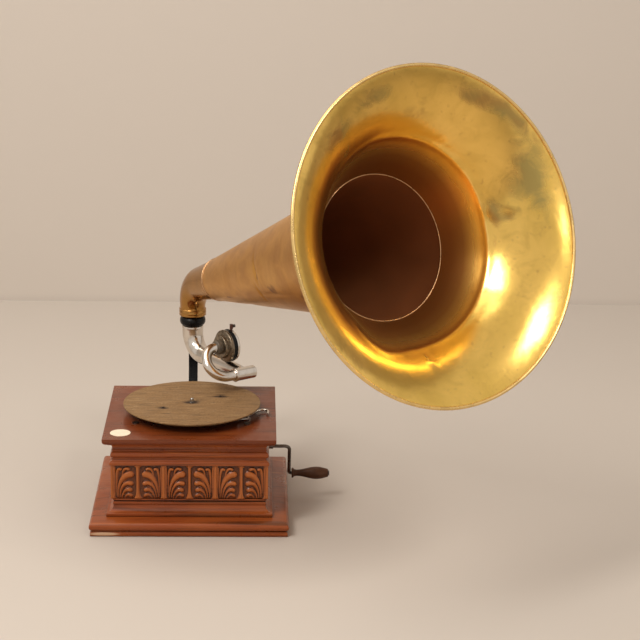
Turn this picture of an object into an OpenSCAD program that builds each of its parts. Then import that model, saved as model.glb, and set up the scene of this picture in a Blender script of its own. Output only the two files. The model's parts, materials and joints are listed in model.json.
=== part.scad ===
// Horn gramophone with a carved oak case, a spring motor, a tapered tone arm and a brass horn.
// Origin: centre of the plinth's underside. X to the right, Y to the back, Z up, millimetres.

/* [Case] */
// Outside width of the square plinth
plinth_w = 359; // [330:1:380]
// Height of the plinth moulding
plinth_h = 27.5; // [22:0.5:34]
// Width of the plinth's wooden rail
plinth_rail = 62; // [58:1:66]
// Radius of the plinth's round moulding
plinth_round = 8; // [5:0.5:9]
// Width of the case across the faces of its boards
case_w = 266; // [256:1:276]
// Thickness of the case boards
board_t = 12; // [9:0.5:15]
// Thickness of the bottom board
bottom_t = 8; // [5:0.5:12]
// Height of the bottom board's underside above the floor
bottom_lift = 6; // [4:0.5:9]
// Height of the base moulding with its bead
base_h = 30; // [26:1:36]
// Projection of the base moulding's step from the boards
base_step = 17; // [14:0.5:20]
// Height of the base moulding's step
base_step_h = 6; // [4:0.5:9]
// Radius of the hollow above the step
base_cove = 13; // [10:0.5:14]
// Height of the carved frieze
frieze_h = 65.5; // [60:0.5:80]
// Thickness of the frieze strip under its carving
frieze_t = 5.5; // [4:0.5:7]
// Height of the carving above the strip
relief = 3; // [1.5:0.5:4]
// Repeats of the carved pattern on each side
frieze_repeats = 3; // [2:1:4]
// Height of the neck moulding between the frieze and the top board
neck_h = 41.5; // [40:0.5:50]
// Outside width of the square top board
top_w = 311.4; // [300:0.2:330]
// Thickness of the top board
top_t = 12; // [10:0.5:15]
// Radius of the round under the top board's edge
top_round = 8.6; // [4:0.1:9.5]
// Diameter of the blank round plate on the top board
plate_d = 37; // [25:1:45]
// Thickness of the blank round plate
plate_t = 1; // [0.6:0.2:2]
// Distance of the blank plate's centre to the left of the middle
plate_left = 125; // [115:1:130]
// Distance of the blank plate's centre to the front of the middle
plate_front = 119; // [110:1:125]

/* [Turntable] */
// Diameter of the turntable
table_d = 254; // [240:1:260]
// Height of the turntable's surface above the top board
table_gap = 19.4; // [17:0.2:24]
// Thickness of the turntable's plate
table_t = 2.6; // [1.6:0.2:4]
// Outer radius of the brake drum under the turntable
drum_r = 113; // [111:0.5:114]
// Depth of the brake drum with the turntable's plate
table_rim = 9; // [8:0.5:10]
// Diameter of the turntable's hub
hub_d = 30; // [26:1:40]
// Radius of the spindle in its bearings
spindle_r = 4; // [3.8:0.1:5]
// Radius of the pin that takes the record's hole
pin_r = 3.55; // [3.4:0.01:3.6]
// Length of the record pin above the turntable
pin_h = 8.5; // [8:0.5:12]
// Distance of each rivet head from the spindle
rivet_x = 62; // [40:1:70]
// Turn of the rivet heads from straight to the right
rivet_turn = 33; // [0:1:90]
// Radius of a rivet head
rivet_r = 3; // [2:0.2:4]

/* [Brake] */
// Distance of the brake's pivot to the right of the spindle
brake_x = 104.7; // [102:0.1:107]
// Distance of the brake's pivot to the front of the spindle
brake_y = 30.3; // [28:0.1:34]
// Half the width of the brake lever's strip
brake_wire = 1.7; // [1.4:0.1:2.2]
// Height of the brake lever's strip above the top board
brake_lift = 5; // [4:0.5:6]
// Thickness of the leather brake pad
pad_t = 3; // [2:0.5:4]

/* [Motor] */
// Gap between the bedplate and the top board, filled by the rubber washers
washer_t = 4; // [2:0.5:6]
// Thickness of the bedplate
bed_t = 5; // [4:0.5:6]
// Gap between the bedplate's ends and the case's side boards
bed_gap = 10; // [8:0.5:13]
// Width of the bedplate
bed_w = 150; // [140:1:160]
// Distance between the bedplate and the lower plate
plate_gap = 104; // [102:1:106]
// Thickness of the lower plate
low_t = 4; // [3:0.5:6]
// Radius of a motor pillar
pillar_r = 5; // [4:0.5:6]
// Depth of the crank's axis below the top board's underside
crank_drop = 49; // [47:0.5:52]
// Distance of the crank's axis to the front of the spindle
crank_front = 15; // [14:0.5:18]
// Distance of the barrel's axis from the inside of the case's right board
barrel_in = 55; // [53:0.5:57]
// Radius of the spring barrel
barrel_r = 40; // [36:0.5:42]
// Height of the spring barrel without its wheel
barrel_h = 28; // [24:0.5:29]
// Wall of the spring barrel
barrel_wall = 2; // [1.5:0.25:3]
// Thickness of the barrel's wheel
barrel_gear_t = 6; // [4:0.5:7]
// Radius of the barrel's arbor
arbor_r = 5; // [4.5:0.25:6]
// Turns of the mainspring
spring_turns = 7; // [5:1:9]
// Thickness of the mainspring's steel
spring_t = 0.9; // [0.6:0.1:1.2]
// Outer radius of the ratchet wheel
ratchet_r = 15; // [13:0.5:16]

/* [Governor] */
// Depth of the governor's axis below the bedplate
gov_drop = 26; // [24:0.5:28]
// Pitch radius of the worm
worm_r = 3.8; // [3.6:0.1:4]
// Radius of a governor weight
ball_r = 6; // [5:0.5:6.5]
// Distance of a weight's centre from the governor's axis
ball_orbit = 15; // [14:0.5:16]
// Length of the governor's shaft
gov_l = 92; // [90:1:94]
// Radius of the friction disc
disc_r = 12; // [10:0.5:14]

/* [Crank] */
// Radius of the crank's rod
rod_r = 3.2; // [2.8:0.1:3.6]
// Distance of the crank's arm from the middle of the case
crank_out = 182; // [180:1:188]
// Radius of the crank's turn
crank_r = 72; // [60:1:75]
// Angle by which the resting crank leans back from straight down
crank_lean = 26; // [0:1:40]
// Length of the wooden grip
grip_l = 69; // [60:1:80]
// Largest radius of the wooden grip
grip_r = 11.75; // [10:0.25:13]
// Radius of the bush's flange in the case side
bush_r = 7; // [6.5:0.25:7.25]

/* [Bracket] */
// Distance of the horn's pivot to the back of the spindle
pivot_y = 230; // [222:1:236]
// Distance of the horn's pivot to the left of the spindle
pivot_left = 6; // [0:0.1:8]
// Height of the ring's middle above the top board
ring_up = 112.4; // [104:0.2:118]
// Outer radius of the ring
ring_r = 25; // [24:0.5:28]
// Height of the ring
ring_h = 20.5; // [18:0.5:24]
// Width of the bracket's upright
upright_w = 17.5; // [14:0.5:22]
// Depth of the bracket's upright
upright_d = 14; // [12:0.5:16]
// Width of the bracket's foot
foot_w = 90; // [80:1:110]
// Height of the bracket's foot
foot_h = 52; // [44:1:58]
// Thickness of the bracket's foot
foot_t = 8; // [6:0.5:9]

/* [Horn] */
// Turn of the horn's axis from straight ahead towards the right
horn_az = 32; // [0:0.1:45]
// Rise of the horn's axis above level
horn_el = 18.5; // [12:0.1:26]
// Outer radius of the elbow at the ring
elbow_r = 24.6; // [24:0.1:26]
// Height at which the elbow begins to bend, above the ring's middle
elbow_rise = 29.6; // [26:0.1:40]
// Radius of the elbow's bend
elbow_bend = 57.5; // [50:0.5:70]
// Length of the elbow's straight taper
elbow_l = 73; // [50:1:80]
// Outer radius of the horn's cone at the elbow
cone_r1 = 41.3; // [38:0.1:44]
// Length of the horn's cone
cone_l = 540.5; // [460:0.5:580]
// Outer radius of the horn's cone at the bell
cone_r2 = 123.4; // [110:0.1:130]
// Depth of the bell
bell_l = 168.2; // [150:0.1:190]
// Outer radius of the bell's mouth
bell_r = 277.2; // [250:0.5:285]
// Wall of the horn's sheet brass
horn_wall = 0.7; // [0.6:0.05:1.2]
// Radius of the bell's rolled rim
rim_r = 3; // [2:0.25:4]

/* [Tone arm] */
// Turn of the resting tone arm from straight ahead towards the right
arm_az = 35; // [30:1:45]
// Distance from the pivot to the crosspiece
arm_reach = 177; // [170:1:185]
// Height of the tone arm's level part above the turntable
arm_up = 30; // [28:0.5:36]
// Radius of the tone arm's bend
arm_bend = 40; // [34:1:44]
// Outer radius of the tone arm at the pivot
arm_r1 = 20.4; // [18.5:0.1:21]
// Outer radius of the tone arm at the crosspiece
arm_r2 = 11; // [10:0.1:11.5]
// Wall of the tone arm
arm_wall = 1.2; // [0.8:0.1:1.6]
// Outer radius of the crosspiece
cross_r = 12.2; // [11.8:0.1:14]
// Length of the crosspiece
cross_l = 46; // [40:1:52]
// Outer radius of the gooseneck tube
neck_r = 9.6; // [8:0.05:9.6]
// Wall of the gooseneck tube
neck_wall = 1; // [0.8:0.1:1.4]
// Radius of the gooseneck's bend
neck_bend = 31.5; // [30:0.5:34]
// Length of the gooseneck's straight part beside the crosspiece
neck_run = 13; // [10:0.5:16]
// Angle of the folded back gooseneck above the tone arm's outer end
neck_lift = 134; // [120:1:136]

/* [Sound box] */
// Outer radius of the sound box
box_r = 31; // [28:0.5:32]
// Depth of the sound box's body
box_h = 22; // [20:0.5:24]
// Wall of the sound box
box_wall = 3; // [2:0.25:4]
// Depth of the face ring
face_h = 6; // [4:0.5:8]
// Radius of the rubber flange
flange_r = 14; // [12.5:0.5:16]
// Length of the rubber flange
flange_h = 10; // [8:0.5:12]
// Direction of the stylus bar from the tone arm's outward direction
stylus_turn = 88; // [80:1:95]
// Distance of the needle clamp from the sound box's centre
clamp_out = 34; // [33:0.5:36]

/* [Hidden] */
$fn = 64;
// Radial clearance of a shaft in its hole
fit = 0.05;
// Gap between two pieces that pass each other
gap = 0.3;
// Teeth of the barrel's wheel
barrel_teeth = 64;
// Teeth of the intermediate pinion
pinion_teeth = 12;
// Tooth module of the barrel's wheel
barrel_mod = 1.5;
// Teeth of the intermediate wheel
wheel_teeth = 64;
// Teeth of the spindle's pinion
spindle_teeth = 16;
// Tooth module of the intermediate wheel
wheel_mod = 1;
// Teeth of the winding wheel
crown_teeth = 36;
// Teeth of the winding pinion
winding_teeth = 12;
// Tooth module of the winding wheel
crown_mod = 1.25;
// Teeth of the ratchet wheel
ratchet_teeth = 24;
// Teeth of the governor's worm wheel
gov_teeth = 36;
// Starts of the governor's worm
worm_starts = 3;
// Tooth module of the worm wheel
gov_mod = 0.8;

z_base = plinth_h;
z_frieze = z_base + base_h;
z_neck = z_frieze + frieze_h;
z_under = z_neck + neck_h;
z_top = z_under + top_t;
z_table = z_top + table_gap;
z_bed = z_under - washer_t - bed_t;
z_low = z_bed - plate_gap;
z_crank = z_under - crank_drop;
z_gov = z_bed - gov_drop;
z_ring = z_top + ring_up;
z_arm = z_table + arm_up;
half = case_w / 2;
inner = half - board_t;
bed_l = 2 * (inner - bed_gap);
barrel_x = inner - barrel_in;
plinth_half = plinth_w / 2;
plinth_in = plinth_half - plinth_rail;
top_half = top_w / 2;
pivot = [-pivot_left, pivot_y];

// Depth of the turntable's hub below its plate
hub_drop = 7;
// Wall of the brake drum
rim_t = 2;
rim_in = drum_r - rim_t;
// Depth of the brake's pivot in the top board, and the pivot's radius
brake_screw = 8;
brake_pin = brake_wire + 0.8;
// The pad touches the inside of the brake drum this many degrees to the front of the right side
pad_dir = -35;
// Thickness of the pad's metal back
pad_back = 1.5;
pad_z = z_table - table_rim / 2 - 1.2;
post_at = (rim_in - gap - pad_t - pad_back - brake_wire + 1) * [cos(pad_dir), sin(pad_dir)];

// Radii of the motor's bolts, speed screw, intermediate arbor and governor shaft
bolt_r = 3;
speed_r = 3;
mid_r = 3;
shaft_r = 2;
// Shift of the motor plates' middle to the right
plate_shift = 1;
// Place of the speed screw
speed_at = [-79, 76];
// The intermediate arbor stands where both wheel pairs mesh
mesh_barrel = (barrel_teeth + pinion_teeth) * barrel_mod / 2;
mesh_spindle = (wheel_teeth + spindle_teeth) * wheel_mod / 2;
barrel_at = [barrel_x, -crank_front];
barrel_far = norm(barrel_at);
barrel_dir = atan2(-crank_front, barrel_x);
mid_turn = acos((pow(mesh_spindle, 2) + pow(barrel_far, 2) - pow(mesh_barrel, 2))
    / (2 * mesh_spindle * barrel_far));
mid_dir = barrel_dir + mid_turn;
mid_at = mesh_spindle * [cos(mid_dir), sin(mid_dir)];
back_dir = atan2(barrel_at[1] - mid_at[1], barrel_at[0] - mid_at[0]);
z_barrel = z_low + low_t + 9;
z_mid_wheel = z_low + low_t + 3;
// Pitch radii of the winding wheel and its pinion, and the width of a cog
crown_r = crown_teeth * crown_mod / 2;
winding_r = winding_teeth * crown_mod / 2;
cog_w = 1.1;
z_crown = z_crank - winding_r;
// Inner end of the winding shaft, and the depth of the crank's rod in it
winding_x = barrel_x + crown_r - 3;
rod_depth = 14;
// Thickness of the ratchet wheel and the pawl
ratchet_t = 4;
z_ratchet = z_bed - 2 - ratchet_t;
pawl_pin = 2.5;
pawl_at = barrel_at + [-16, ratchet_r + 2.5];
// The pawl rests lifted over the ratchet's teeth and drops into them by this angle
pawl_lift = 7;

// The governor's places along its shaft
gov_y = gov_teeth * gov_mod / 2 + worm_r;
gov_start = 14;
gov_end = gov_start - gov_l;
spring_x0 = -58;
spring_x1 = -14;
disc_x = -68;
worm_l = 12;
worm_lead = worm_starts * gov_mod * PI;
collar_r = 6;
collar_l = 6;
leaf_t = 0.6;
leaf_top = ball_orbit - 4;
// The speed lever beside the friction disc
pad_gap = 1.2;
lever_x = disc_x - 3.2;
lever_pivot = [-73, 25];
lever_z = z_gov + 3;
lever_h = 6;
lever_w = 3;

// The winding shaft, its bearing and the bush in the case side
bearing_x = inner - 15;
shaft_big = 4.5;
bush_tube = shaft_big + 1;
// Radii of the crank's two bends and of the grip's axle
bend_high = 9;
bend_low = 4.5;
axle_r = 2.6;

// Height of the middle of the bracket's foot
z_foot = z_frieze + frieze_h / 2;
// Radius of the hole through the ring, and of the round of the ring's outer side
ring_bore = 17.6;
bulge = 9;
// Depth to which the elbow and the tone arm reach into the ring
spigot_l = ring_h / 2 - 1;
// The elbow's middle line as distance from the pivot and height
elbow_turn = 90 - horn_el;
elbow_top = z_ring + elbow_rise;
elbow_end = [elbow_bend * (1 - cos(elbow_turn)), elbow_top + elbow_bend * sin(elbow_turn)];
horn_dir = [cos(horn_el), sin(horn_el)];
horn_start = elbow_end + elbow_l * horn_dir;
elbow_steps = 12;
elbow_arc = elbow_bend * elbow_turn * PI / 180;
// Growth of the elbow's radius for each millimetre of its middle line
elbow_rate = (cone_r1 - horn_wall - fit - elbow_r) / (elbow_arc + elbow_l);
elbow_wall = 1.2;
// Height and projection of the elbow's collar above the ring
collar_h = 14;
collar_out = 1.8;
// Length of the cone's sleeve over the elbow
sleeve_l = 5;
// Slope of the bell's curve at the cone and at the mouth
bell_lead = 27;
bell_flare = 74;
bell_steps = 16;

// The gooseneck in the crosspiece and in the sound box
neck_bore = neck_r + fit;
neck_in = 12;
neck_y = -cross_l / 2 - neck_run;
neck_out = flange_h - 0.5;
// Radius and thickness of the sound box's raised back
back_r = 22.5;
back_t = 11;
// Radius of the needle clamp's screw
clamp_screw = 1.2;

// Points of an arc about c, from angle a to angle b in n steps
function arc(c, r, a, b, n) = [for (i = [0:n]) c + r * [cos(a + (b - a) * i / n), sin(a + (b - a) * i / n)]];

// A square frame with mitred corners whose section is drawn as half width against height
module mitred(section, reach) {
    for (side = [0:3])
        rotate([0, 0, 90 * side])
            intersection() {
                rotate([90, 0, 90])
                    translate([0, 0, -reach])
                        linear_extrude(2 * reach)
                            mirror([1, 0])
                                polygon(section);
                translate([0, 0, -1])
                    linear_extrude(z_top + 2)
                        polygon([[0, 0], [-reach, -reach], [reach, -reach]]);
            }
}

// A board that stands at the front, its outer face at half
module front_panel(width, z0, height) {
    translate([-width / 2, -half, z0])
        cube([width, board_t, height]);
}

module plinth() {
    step = plinth_half - 2;
    round_x = plinth_half - plinth_round;
    round_z = plinth_h - 2 - plinth_round;
    section = concat(
        [[plinth_in, 0], [step, 0], [step, round_z - plinth_round - 2], [step - 2, round_z - plinth_round - 2],
            [step - 2, round_z - plinth_round]],
        arc([round_x, round_z], plinth_round, -90, 90, 12),
        [[half + base_step, plinth_h], [plinth_in, plinth_h]]);
    color("saddlebrown")
        mitred(section, plinth_half);
}

module bottom_board() {
    color("peru")
        translate([-plinth_in, -plinth_in, bottom_lift])
            cube([2 * plinth_in, 2 * plinth_in, bottom_t]);
}

module base_moulding() {
    step = half + base_step;
    cove_z = z_base + base_step_h + base_cove;
    slot = 2.8;
    section = concat(
        [[half, z_base], [step, z_base]],
        arc([step, cove_z], base_cove, 270, 180, 8),
        [[half + 5, cove_z], [half + 5, z_frieze - 2 * slot], [half + 1, z_frieze - 2 * slot],
            [half + 1, z_frieze - slot], [half + 5.5, z_frieze - slot], [half + 5.5, z_frieze],
            [half, z_frieze]]);
    color("saddlebrown")
        mitred(section, step);
}

module case_board() {
    front_panel(2 * half, z_base, z_under - z_base);
}

module front_board() {
    color("sienna")
        case_board();
}

module back_board() {
    color("sienna")
        rotate([0, 0, 180])
            case_board();
}

module side_board() {
    front_panel(2 * inner, z_base, z_under - z_base);
}

module left_board() {
    color("sienna")
        rotate([0, 0, -90])
            side_board();
}

module right_board() {
    color("sienna")
        difference() {
            rotate([0, 0, 90])
                side_board();
            crank_hole(bush_tube);
        }
}

// A straight hole for the crank through the case's right side
module crank_hole(r) {
    translate([inner - 1, -crank_front, z_crank])
        rotate([0, 90, 0])
            cylinder(h = top_half, r = r);
}

// One carved leaf that curls away from its stem, drawn flat, p wide and h high
module leaf(p, h) {
    lobe = p * 0.2;
    polygon([[0, h * 0.08], [p * 0.22, h * 0.2], [p * 0.42, h * 0.46], [p * 0.4, h * 0.66], [p * 0.2, h * 0.84],
        [0, h * 0.9]]);
    for (k = [[0.34, 0.2], [0.6, 0.4], [0.66, 0.62], [0.46, 0.8], [0.2, 0.9]])
        translate([p * k[0], h * k[1]])
            circle(r = lobe, $fn = 24);
}

// The carving of one side, drawn flat: stems with collars, and leaves that lean from them
module carving(w, h) {
    cell = w / (2 * frieze_repeats);
    for (i = [0:2 * frieze_repeats]) {
        x = i * cell - w / 2;
        plain = i % 2 == 0;
        translate([x, 0]) {
            polygon([[-4, 0], [4, 0], [2.2, h * 0.25], [2.2, h - 6], [4, h], [-4, h], [-2.2, h - 6],
                [-2.2, h * 0.25]]);
            if (!plain) {
                leaf(cell, h);
                mirror([1, 0])
                    leaf(cell, h);
            }
        }
    }
}

// A frieze strip with its carving, at the front
module frieze() {
    w = 2 * (half + frieze_t);
    translate([-w / 2, -half - frieze_t, z_frieze])
        cube([w, frieze_t, frieze_h]);
    intersection() {
        translate([0, -half - frieze_t, z_frieze])
            rotate([90, 0, 0])
                translate([0, 0, -1])
                    linear_extrude(relief + 1)
                        carving(w - 8, frieze_h);
        translate([-w / 2, -half - frieze_t - relief, z_frieze])
            cube([w, frieze_t + relief, frieze_h]);
    }
}

// Neighbouring friezes meet in a mitre at the corner
module mitre_cut() {
    reach = half + frieze_t + relief;
    linear_extrude(z_top)
        polygon([[0, 0], [-reach, -reach], [reach, -reach]]);
}

module mitred_frieze() {
    intersection() {
        frieze();
        mitre_cut();
    }
}

module front_frieze() {
    color("saddlebrown")
        mitred_frieze();
}

module left_frieze() {
    color("saddlebrown")
        rotate([0, 0, -90])
            mitred_frieze();
}

module right_frieze() {
    color("saddlebrown")
        difference() {
            rotate([0, 0, 90])
                mitred_frieze();
            crank_hole(bush_r + gap);
        }
}

module neck_moulding() {
    cap = 9.5;
    torus = 6.4;
    torus_z = z_neck + cap + 9.7;
    bead = 1.2;
    cove = 9;
    lip = 1.5;
    fillet_x = half + 4.7;
    section = concat(
        [[half, z_neck], [half + 10.5, z_neck], [half + 10.5, z_neck + 3.5]],
        arc([half + 6, z_neck + 3.5], 4.5, 15, 75, 4),
        [[half + 6, z_neck + cap], [fillet_x, z_neck + cap]],
        arc([half + 2.6, torus_z], torus, -70, 70, 8),
        [[fillet_x, torus_z + torus]],
        arc([fillet_x, torus_z + torus + 2 * bead], bead, -90, 90, 6),
        [[fillet_x, z_under - cove - lip]],
        arc([fillet_x + cove, z_under - cove - lip], cove, 180, 90, 8),
        [[fillet_x + cove, z_under], [half, z_under]]);
    color("saddlebrown")
        mitred(section, top_half);
}

module top_board() {
    section = concat(
        [[half - 20, z_under], [top_half - top_round, z_under]],
        arc([top_half - top_round, z_under + top_round], top_round, -90, 0, 8),
        [[top_half, z_top], [half - 20, z_top]]);
    color("saddlebrown")
        difference() {
            union() {
                mitred(section, top_half);
                translate([20 - half, 20 - half, z_under])
                    cube([case_w - 40, case_w - 40, top_t]);
            }
            translate([0, 0, z_under - 1])
                cylinder(h = top_t + 2, r = spindle_r + 5);
            bolt_places()
                translate([0, 0, z_under - 1])
                    cylinder(h = top_t + 2, r = bolt_r + 0.5);
            speed_place()
                translate([0, 0, z_under - 1])
                    cylinder(h = top_t + 2, r = speed_r + 1);
            translate([-plate_left, -plate_front, z_top - plate_t / 2])
                cylinder(h = plate_t, r = plate_d / 2);
            translate([brake_x, -brake_y, z_top - brake_screw])
                cylinder(h = brake_screw + 1, r = brake_pin);
        }
}

module blank_plate() {
    color("wheat")
        translate([-plate_left, -plate_front, z_top - plate_t / 2])
            cylinder(h = plate_t, r = plate_d / 2);
}

module turntable() {
    z_hub = z_table - table_t - hub_drop;
    color("olive")
        difference() {
            union() {
                translate([0, 0, z_table - table_t])
                    cylinder(h = table_t, r = table_d / 2, $fn = 96);
                translate([0, 0, z_hub])
                    cylinder(h = hub_drop + 1, r = hub_d / 2);
                difference() {
                    translate([0, 0, z_table - table_rim])
                        cylinder(h = table_rim - 0.5, r = drum_r, $fn = 96);
                    translate([0, 0, z_table - table_rim - 1])
                        cylinder(h = table_rim + 1 - table_t, r = rim_in, $fn = 96);
                }
            }
            translate([0, 0, z_hub - 1])
                cylinder(h = table_gap, r = spindle_r);
            rivet_places()
                translate([0, 0, z_table - table_t - 1])
                    cylinder(h = table_t + 2, r = rivet_r / 2);
        }
}

module rivet_places() {
    for (side = [0, 180])
        rotate([0, 0, rivet_turn + side])
            translate([rivet_x, 0, 0])
                children();
}

module table_rivets() {
    color("dimgray")
        rivet_places()
            rotate_extrude()
                polygon(concat(
                    [[0, z_table - table_t], [rivet_r / 2, z_table - table_t], [rivet_r / 2, z_table],
                        [rivet_r, z_table]],
                    arc([0, z_table - 1], rivet_r, 20, 90, 4)));
}

module spindle() {
    z_hub = z_table - table_t - hub_drop;
    color("silver")
        rotate_extrude()
            polygon([[0, z_low + low_t + gap], [2, z_low + low_t + gap], [spindle_r, z_low + low_t + 3],
                [spindle_r, z_hub - 5], [spindle_r + 1.5, z_hub - 5], [spindle_r + 1.5, z_hub],
                [spindle_r, z_hub],
                [spindle_r, z_table], [pin_r, z_table], [pin_r, z_table + pin_h - 2],
                [pin_r - 1.2, z_table + pin_h - 0.3], [0, z_table + pin_h]]);
}

// Outline of a spur wheel with n teeth of module m, each tooth with straight flanks
function tooth(n, m, t) = let (r = n * m / 2, a = 360 / n)
    [for (k = [[-0.31, -1.15], [-0.12, 0.85], [0.12, 0.85], [0.31, -1.15]])
        (r + k[1] * m) * [cos(t + k[0] * a), sin(t + k[0] * a)]];

function gear_outline(n, m) = [for (i = [0:n - 1]) each tooth(n, m, i * 360 / n)];

// A spur wheel with a round hole, turned by start
module gear(n, m, thick, hole, start = 0) {
    rotate([0, 0, start])
        linear_extrude(thick)
            difference() {
                polygon(gear_outline(n, m));
                circle(r = hole);
            }
}

module spindle_pinion() {
    start = mid_dir + 180 / spindle_teeth;
    color("goldenrod")
        translate([0, 0, z_mid_wheel - 1])
            gear(spindle_teeth, wheel_mod, 5, spindle_r, start);
}

module governor_wheel() {
    color("goldenrod")
        translate([0, 0, z_gov - 0.8]) {
            gear(gov_teeth, gov_mod, 1.6, spindle_r, -90);
            difference() {
                translate([0, 0, -4])
                    cylinder(h = 4.5, r = spindle_r + 3);
                translate([0, 0, -5])
                    cylinder(h = 6, r = spindle_r);
            }
        }
}

module brake_pivot() {
    color("silver")
        translate([brake_x, -brake_y, z_top]) {
            translate([0, 0, -brake_screw])
                cylinder(h = brake_screw + brake_lift + 3, r = brake_pin);
            translate([0, 0, brake_lift + 2.4])
                cylinder(h = 1.6, r = brake_wire + 2.5);
            cylinder(h = brake_lift - 2.4, r = brake_wire + 2.5);
        }
}

// A flat strip of width w along points, rounded at each bend
module strip(p, w) {
    for (i = [0:len(p) - 2]) {
        v = p[i + 1] - p[i];
        translate(p[i])
            rotate([0, 0, atan2(v[1], v[0])])
                translate([0, -w / 2])
                    square([norm(v), w]);
        translate(p[i + 1])
            circle(r = w / 2 + 0.1, $fn = 24);
    }
}

module brake_lever() {
    hub = [brake_x, -brake_y];
    handle = [hub, [121, -7.5], [127, -1], [134, 1.5], [139, -2], [141.5, -10], [141, -20]];
    strip_w = 2 * brake_wire;
    strip_t = 3;
    hub_h = 4.2;
    lift = pad_z - z_top - brake_lift;
    color("silver")
        translate([0, 0, z_top + brake_lift])
            difference() {
                union() {
                    translate([0, 0, -strip_t / 2])
                        linear_extrude(strip_t)
                            union() {
                                strip(handle, strip_w);
                                strip([hub, hub - [1, 20], post_at], strip_w);
                            }
                    translate([brake_x, -brake_y, -hub_h / 2])
                        cylinder(h = hub_h, r = brake_wire + 3);
                    translate([post_at[0], post_at[1], -strip_t / 2])
                        cylinder(h = lift + strip_t / 2, r = brake_wire + 0.3);
                    rotate([0, 0, pad_dir])
                        translate([rim_in - gap - pad_t - pad_back, -4, lift - 2.5])
                            cube([pad_back, 8, 5]);
                }
                translate([brake_x, -brake_y, -hub_h])
                    cylinder(h = 2 * hub_h, r = brake_pin + fit);
            }
}

module brake_pad() {
    color("sienna")
        rotate([0, 0, pad_dir])
            intersection() {
                translate([rim_in - gap - pad_t, -5, pad_z - 2.8])
                    cube([pad_t + 1, 10, 5.6]);
                translate([0, 0, pad_z - 5])
                    cylinder(h = 10, r = rim_in - gap, $fn = 240);
            }
}

module bolt_places() {
    for (x = [-1, 1], y = [-1, 1])
        translate([x * (bed_l / 2 - 9) + plate_shift, y * (bed_w / 2 - 10), 0])
            children();
}

module pillar_places() {
    for (p = [[-1, -1], [-1, 1], [1, 0.9], [0.1, -1]])
        translate([plate_shift + p[0] * (bed_l / 2 - 18), p[1] * (bed_w / 2 - 17), 0])
            children();
}

module speed_place() {
    translate([speed_at[0], speed_at[1], 0])
        children();
}

module plate_outline(l, w) {
    translate([plate_shift - l / 2, -w / 2])
        square([l, w]);
}

module bedplate() {
    color("darkslategray")
        difference() {
            translate([0, 0, z_bed])
                linear_extrude(bed_t)
                    plate_outline(bed_l, bed_w);
            translate([0, 0, z_bed - 1]) {
                cylinder(h = bed_t + 2, r = spindle_r + fit);
                translate([barrel_x, -crank_front, 0])
                    cylinder(h = bed_t + 2, r = arbor_r + fit);
                translate([mid_at[0], mid_at[1], 0])
                    cylinder(h = bed_t + 2, r = mid_r + fit);
                translate([pawl_at[0], pawl_at[1], 0])
                    cylinder(h = bed_t + 2, r = pawl_pin + fit);
                bolt_places()
                    cylinder(h = bed_t + 2, r = bolt_r);
                speed_place()
                    cylinder(h = bed_t + 2, r = speed_r + fit);
            }
        }
}

module rubber_washers() {
    color("black")
        bolt_places()
            translate([0, 0, z_bed + bed_t])
                difference() {
                    cylinder(h = washer_t, r = 8);
                    translate([0, 0, -1])
                        cylinder(h = washer_t + 2, r = bolt_r);
                }
}

module motor_bolts() {
    color("silver")
        bolt_places() {
            translate([0, 0, z_bed - 4])
                cylinder(h = z_top - z_bed + 4, r = bolt_r);
            translate([0, 0, z_top])
                cylinder(h = 2, r = 6);
            translate([0, 0, z_bed - 4])
                cylinder(h = 4, r = 5.5, $fn = 6);
        }
}

module motor_pillars() {
    color("silver")
        pillar_places()
            translate([0, 0, z_low + low_t])
                cylinder(h = plate_gap - low_t, r = pillar_r);
}

module lower_plate() {
    color("darkslategray")
        difference() {
            translate([0, 0, z_low])
                linear_extrude(low_t)
                    plate_outline(bed_l - 10, bed_w - 14);
            translate([barrel_x, -crank_front, z_low - 1])
                cylinder(h = low_t + 2, r = arbor_r - 1 + fit);
            translate([mid_at[0], mid_at[1], z_low - 1])
                cylinder(h = low_t + 2, r = mid_r - 1 + fit);
        }
}

module at_barrel() {
    translate([barrel_at[0], barrel_at[1], z_barrel])
        children();
}

module spring_barrel() {
    start = back_dir + 180 + 180 / barrel_teeth;
    color("goldenrod")
        at_barrel()
            difference() {
                union() {
                    gear(barrel_teeth, barrel_mod, barrel_gear_t, arbor_r + fit, start);
                    cylinder(h = barrel_gear_t + barrel_h, r = barrel_r);
                }
                translate([0, 0, barrel_gear_t])
                    cylinder(h = barrel_h + 1, r = barrel_r - barrel_wall);
                translate([0, 0, -1])
                    cylinder(h = barrel_gear_t + 2, r = arbor_r + fit);
            }
}

module barrel_cover() {
    color("goldenrod")
        at_barrel()
            translate([0, 0, barrel_gear_t + barrel_h])
                difference() {
                    cylinder(h = 2, r = barrel_r);
                    translate([0, 0, -1])
                        cylinder(h = 4, r = arbor_r + fit);
                }
}

// Radius of the mainspring's steel at a share of its length
function coil_r(s) = arbor_r + 0.8 + (barrel_r - barrel_wall - spring_t / 2 - arbor_r - 0.8) * s;

module mainspring() {
    steps = spring_turns * 20;
    side = function (d) [for (i = [0:steps]) (coil_r(i / steps) + d) * [cos(i * 18), sin(i * 18)]];
    outer = side(spring_t / 2);
    inner_side = side(-spring_t / 2);
    color("steelblue")
        at_barrel()
            translate([0, 0, barrel_gear_t + 1])
                intersection() {
                    linear_extrude(barrel_h - 2)
                        polygon(concat(outer, [for (i = [steps:-1:0]) inner_side[i]]));
                    cylinder(h = barrel_h, r = barrel_r - barrel_wall);
                }
}

module barrel_arbor() {
    color("silver")
        translate([barrel_at[0], barrel_at[1], 0]) {
            translate([0, 0, z_low + low_t + gap])
                cylinder(h = z_bed + bed_t - z_low - low_t, r = arbor_r);
            translate([0, 0, z_low - 1])
                cylinder(h = low_t + 2, r = arbor_r - 1);
        }
}

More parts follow.
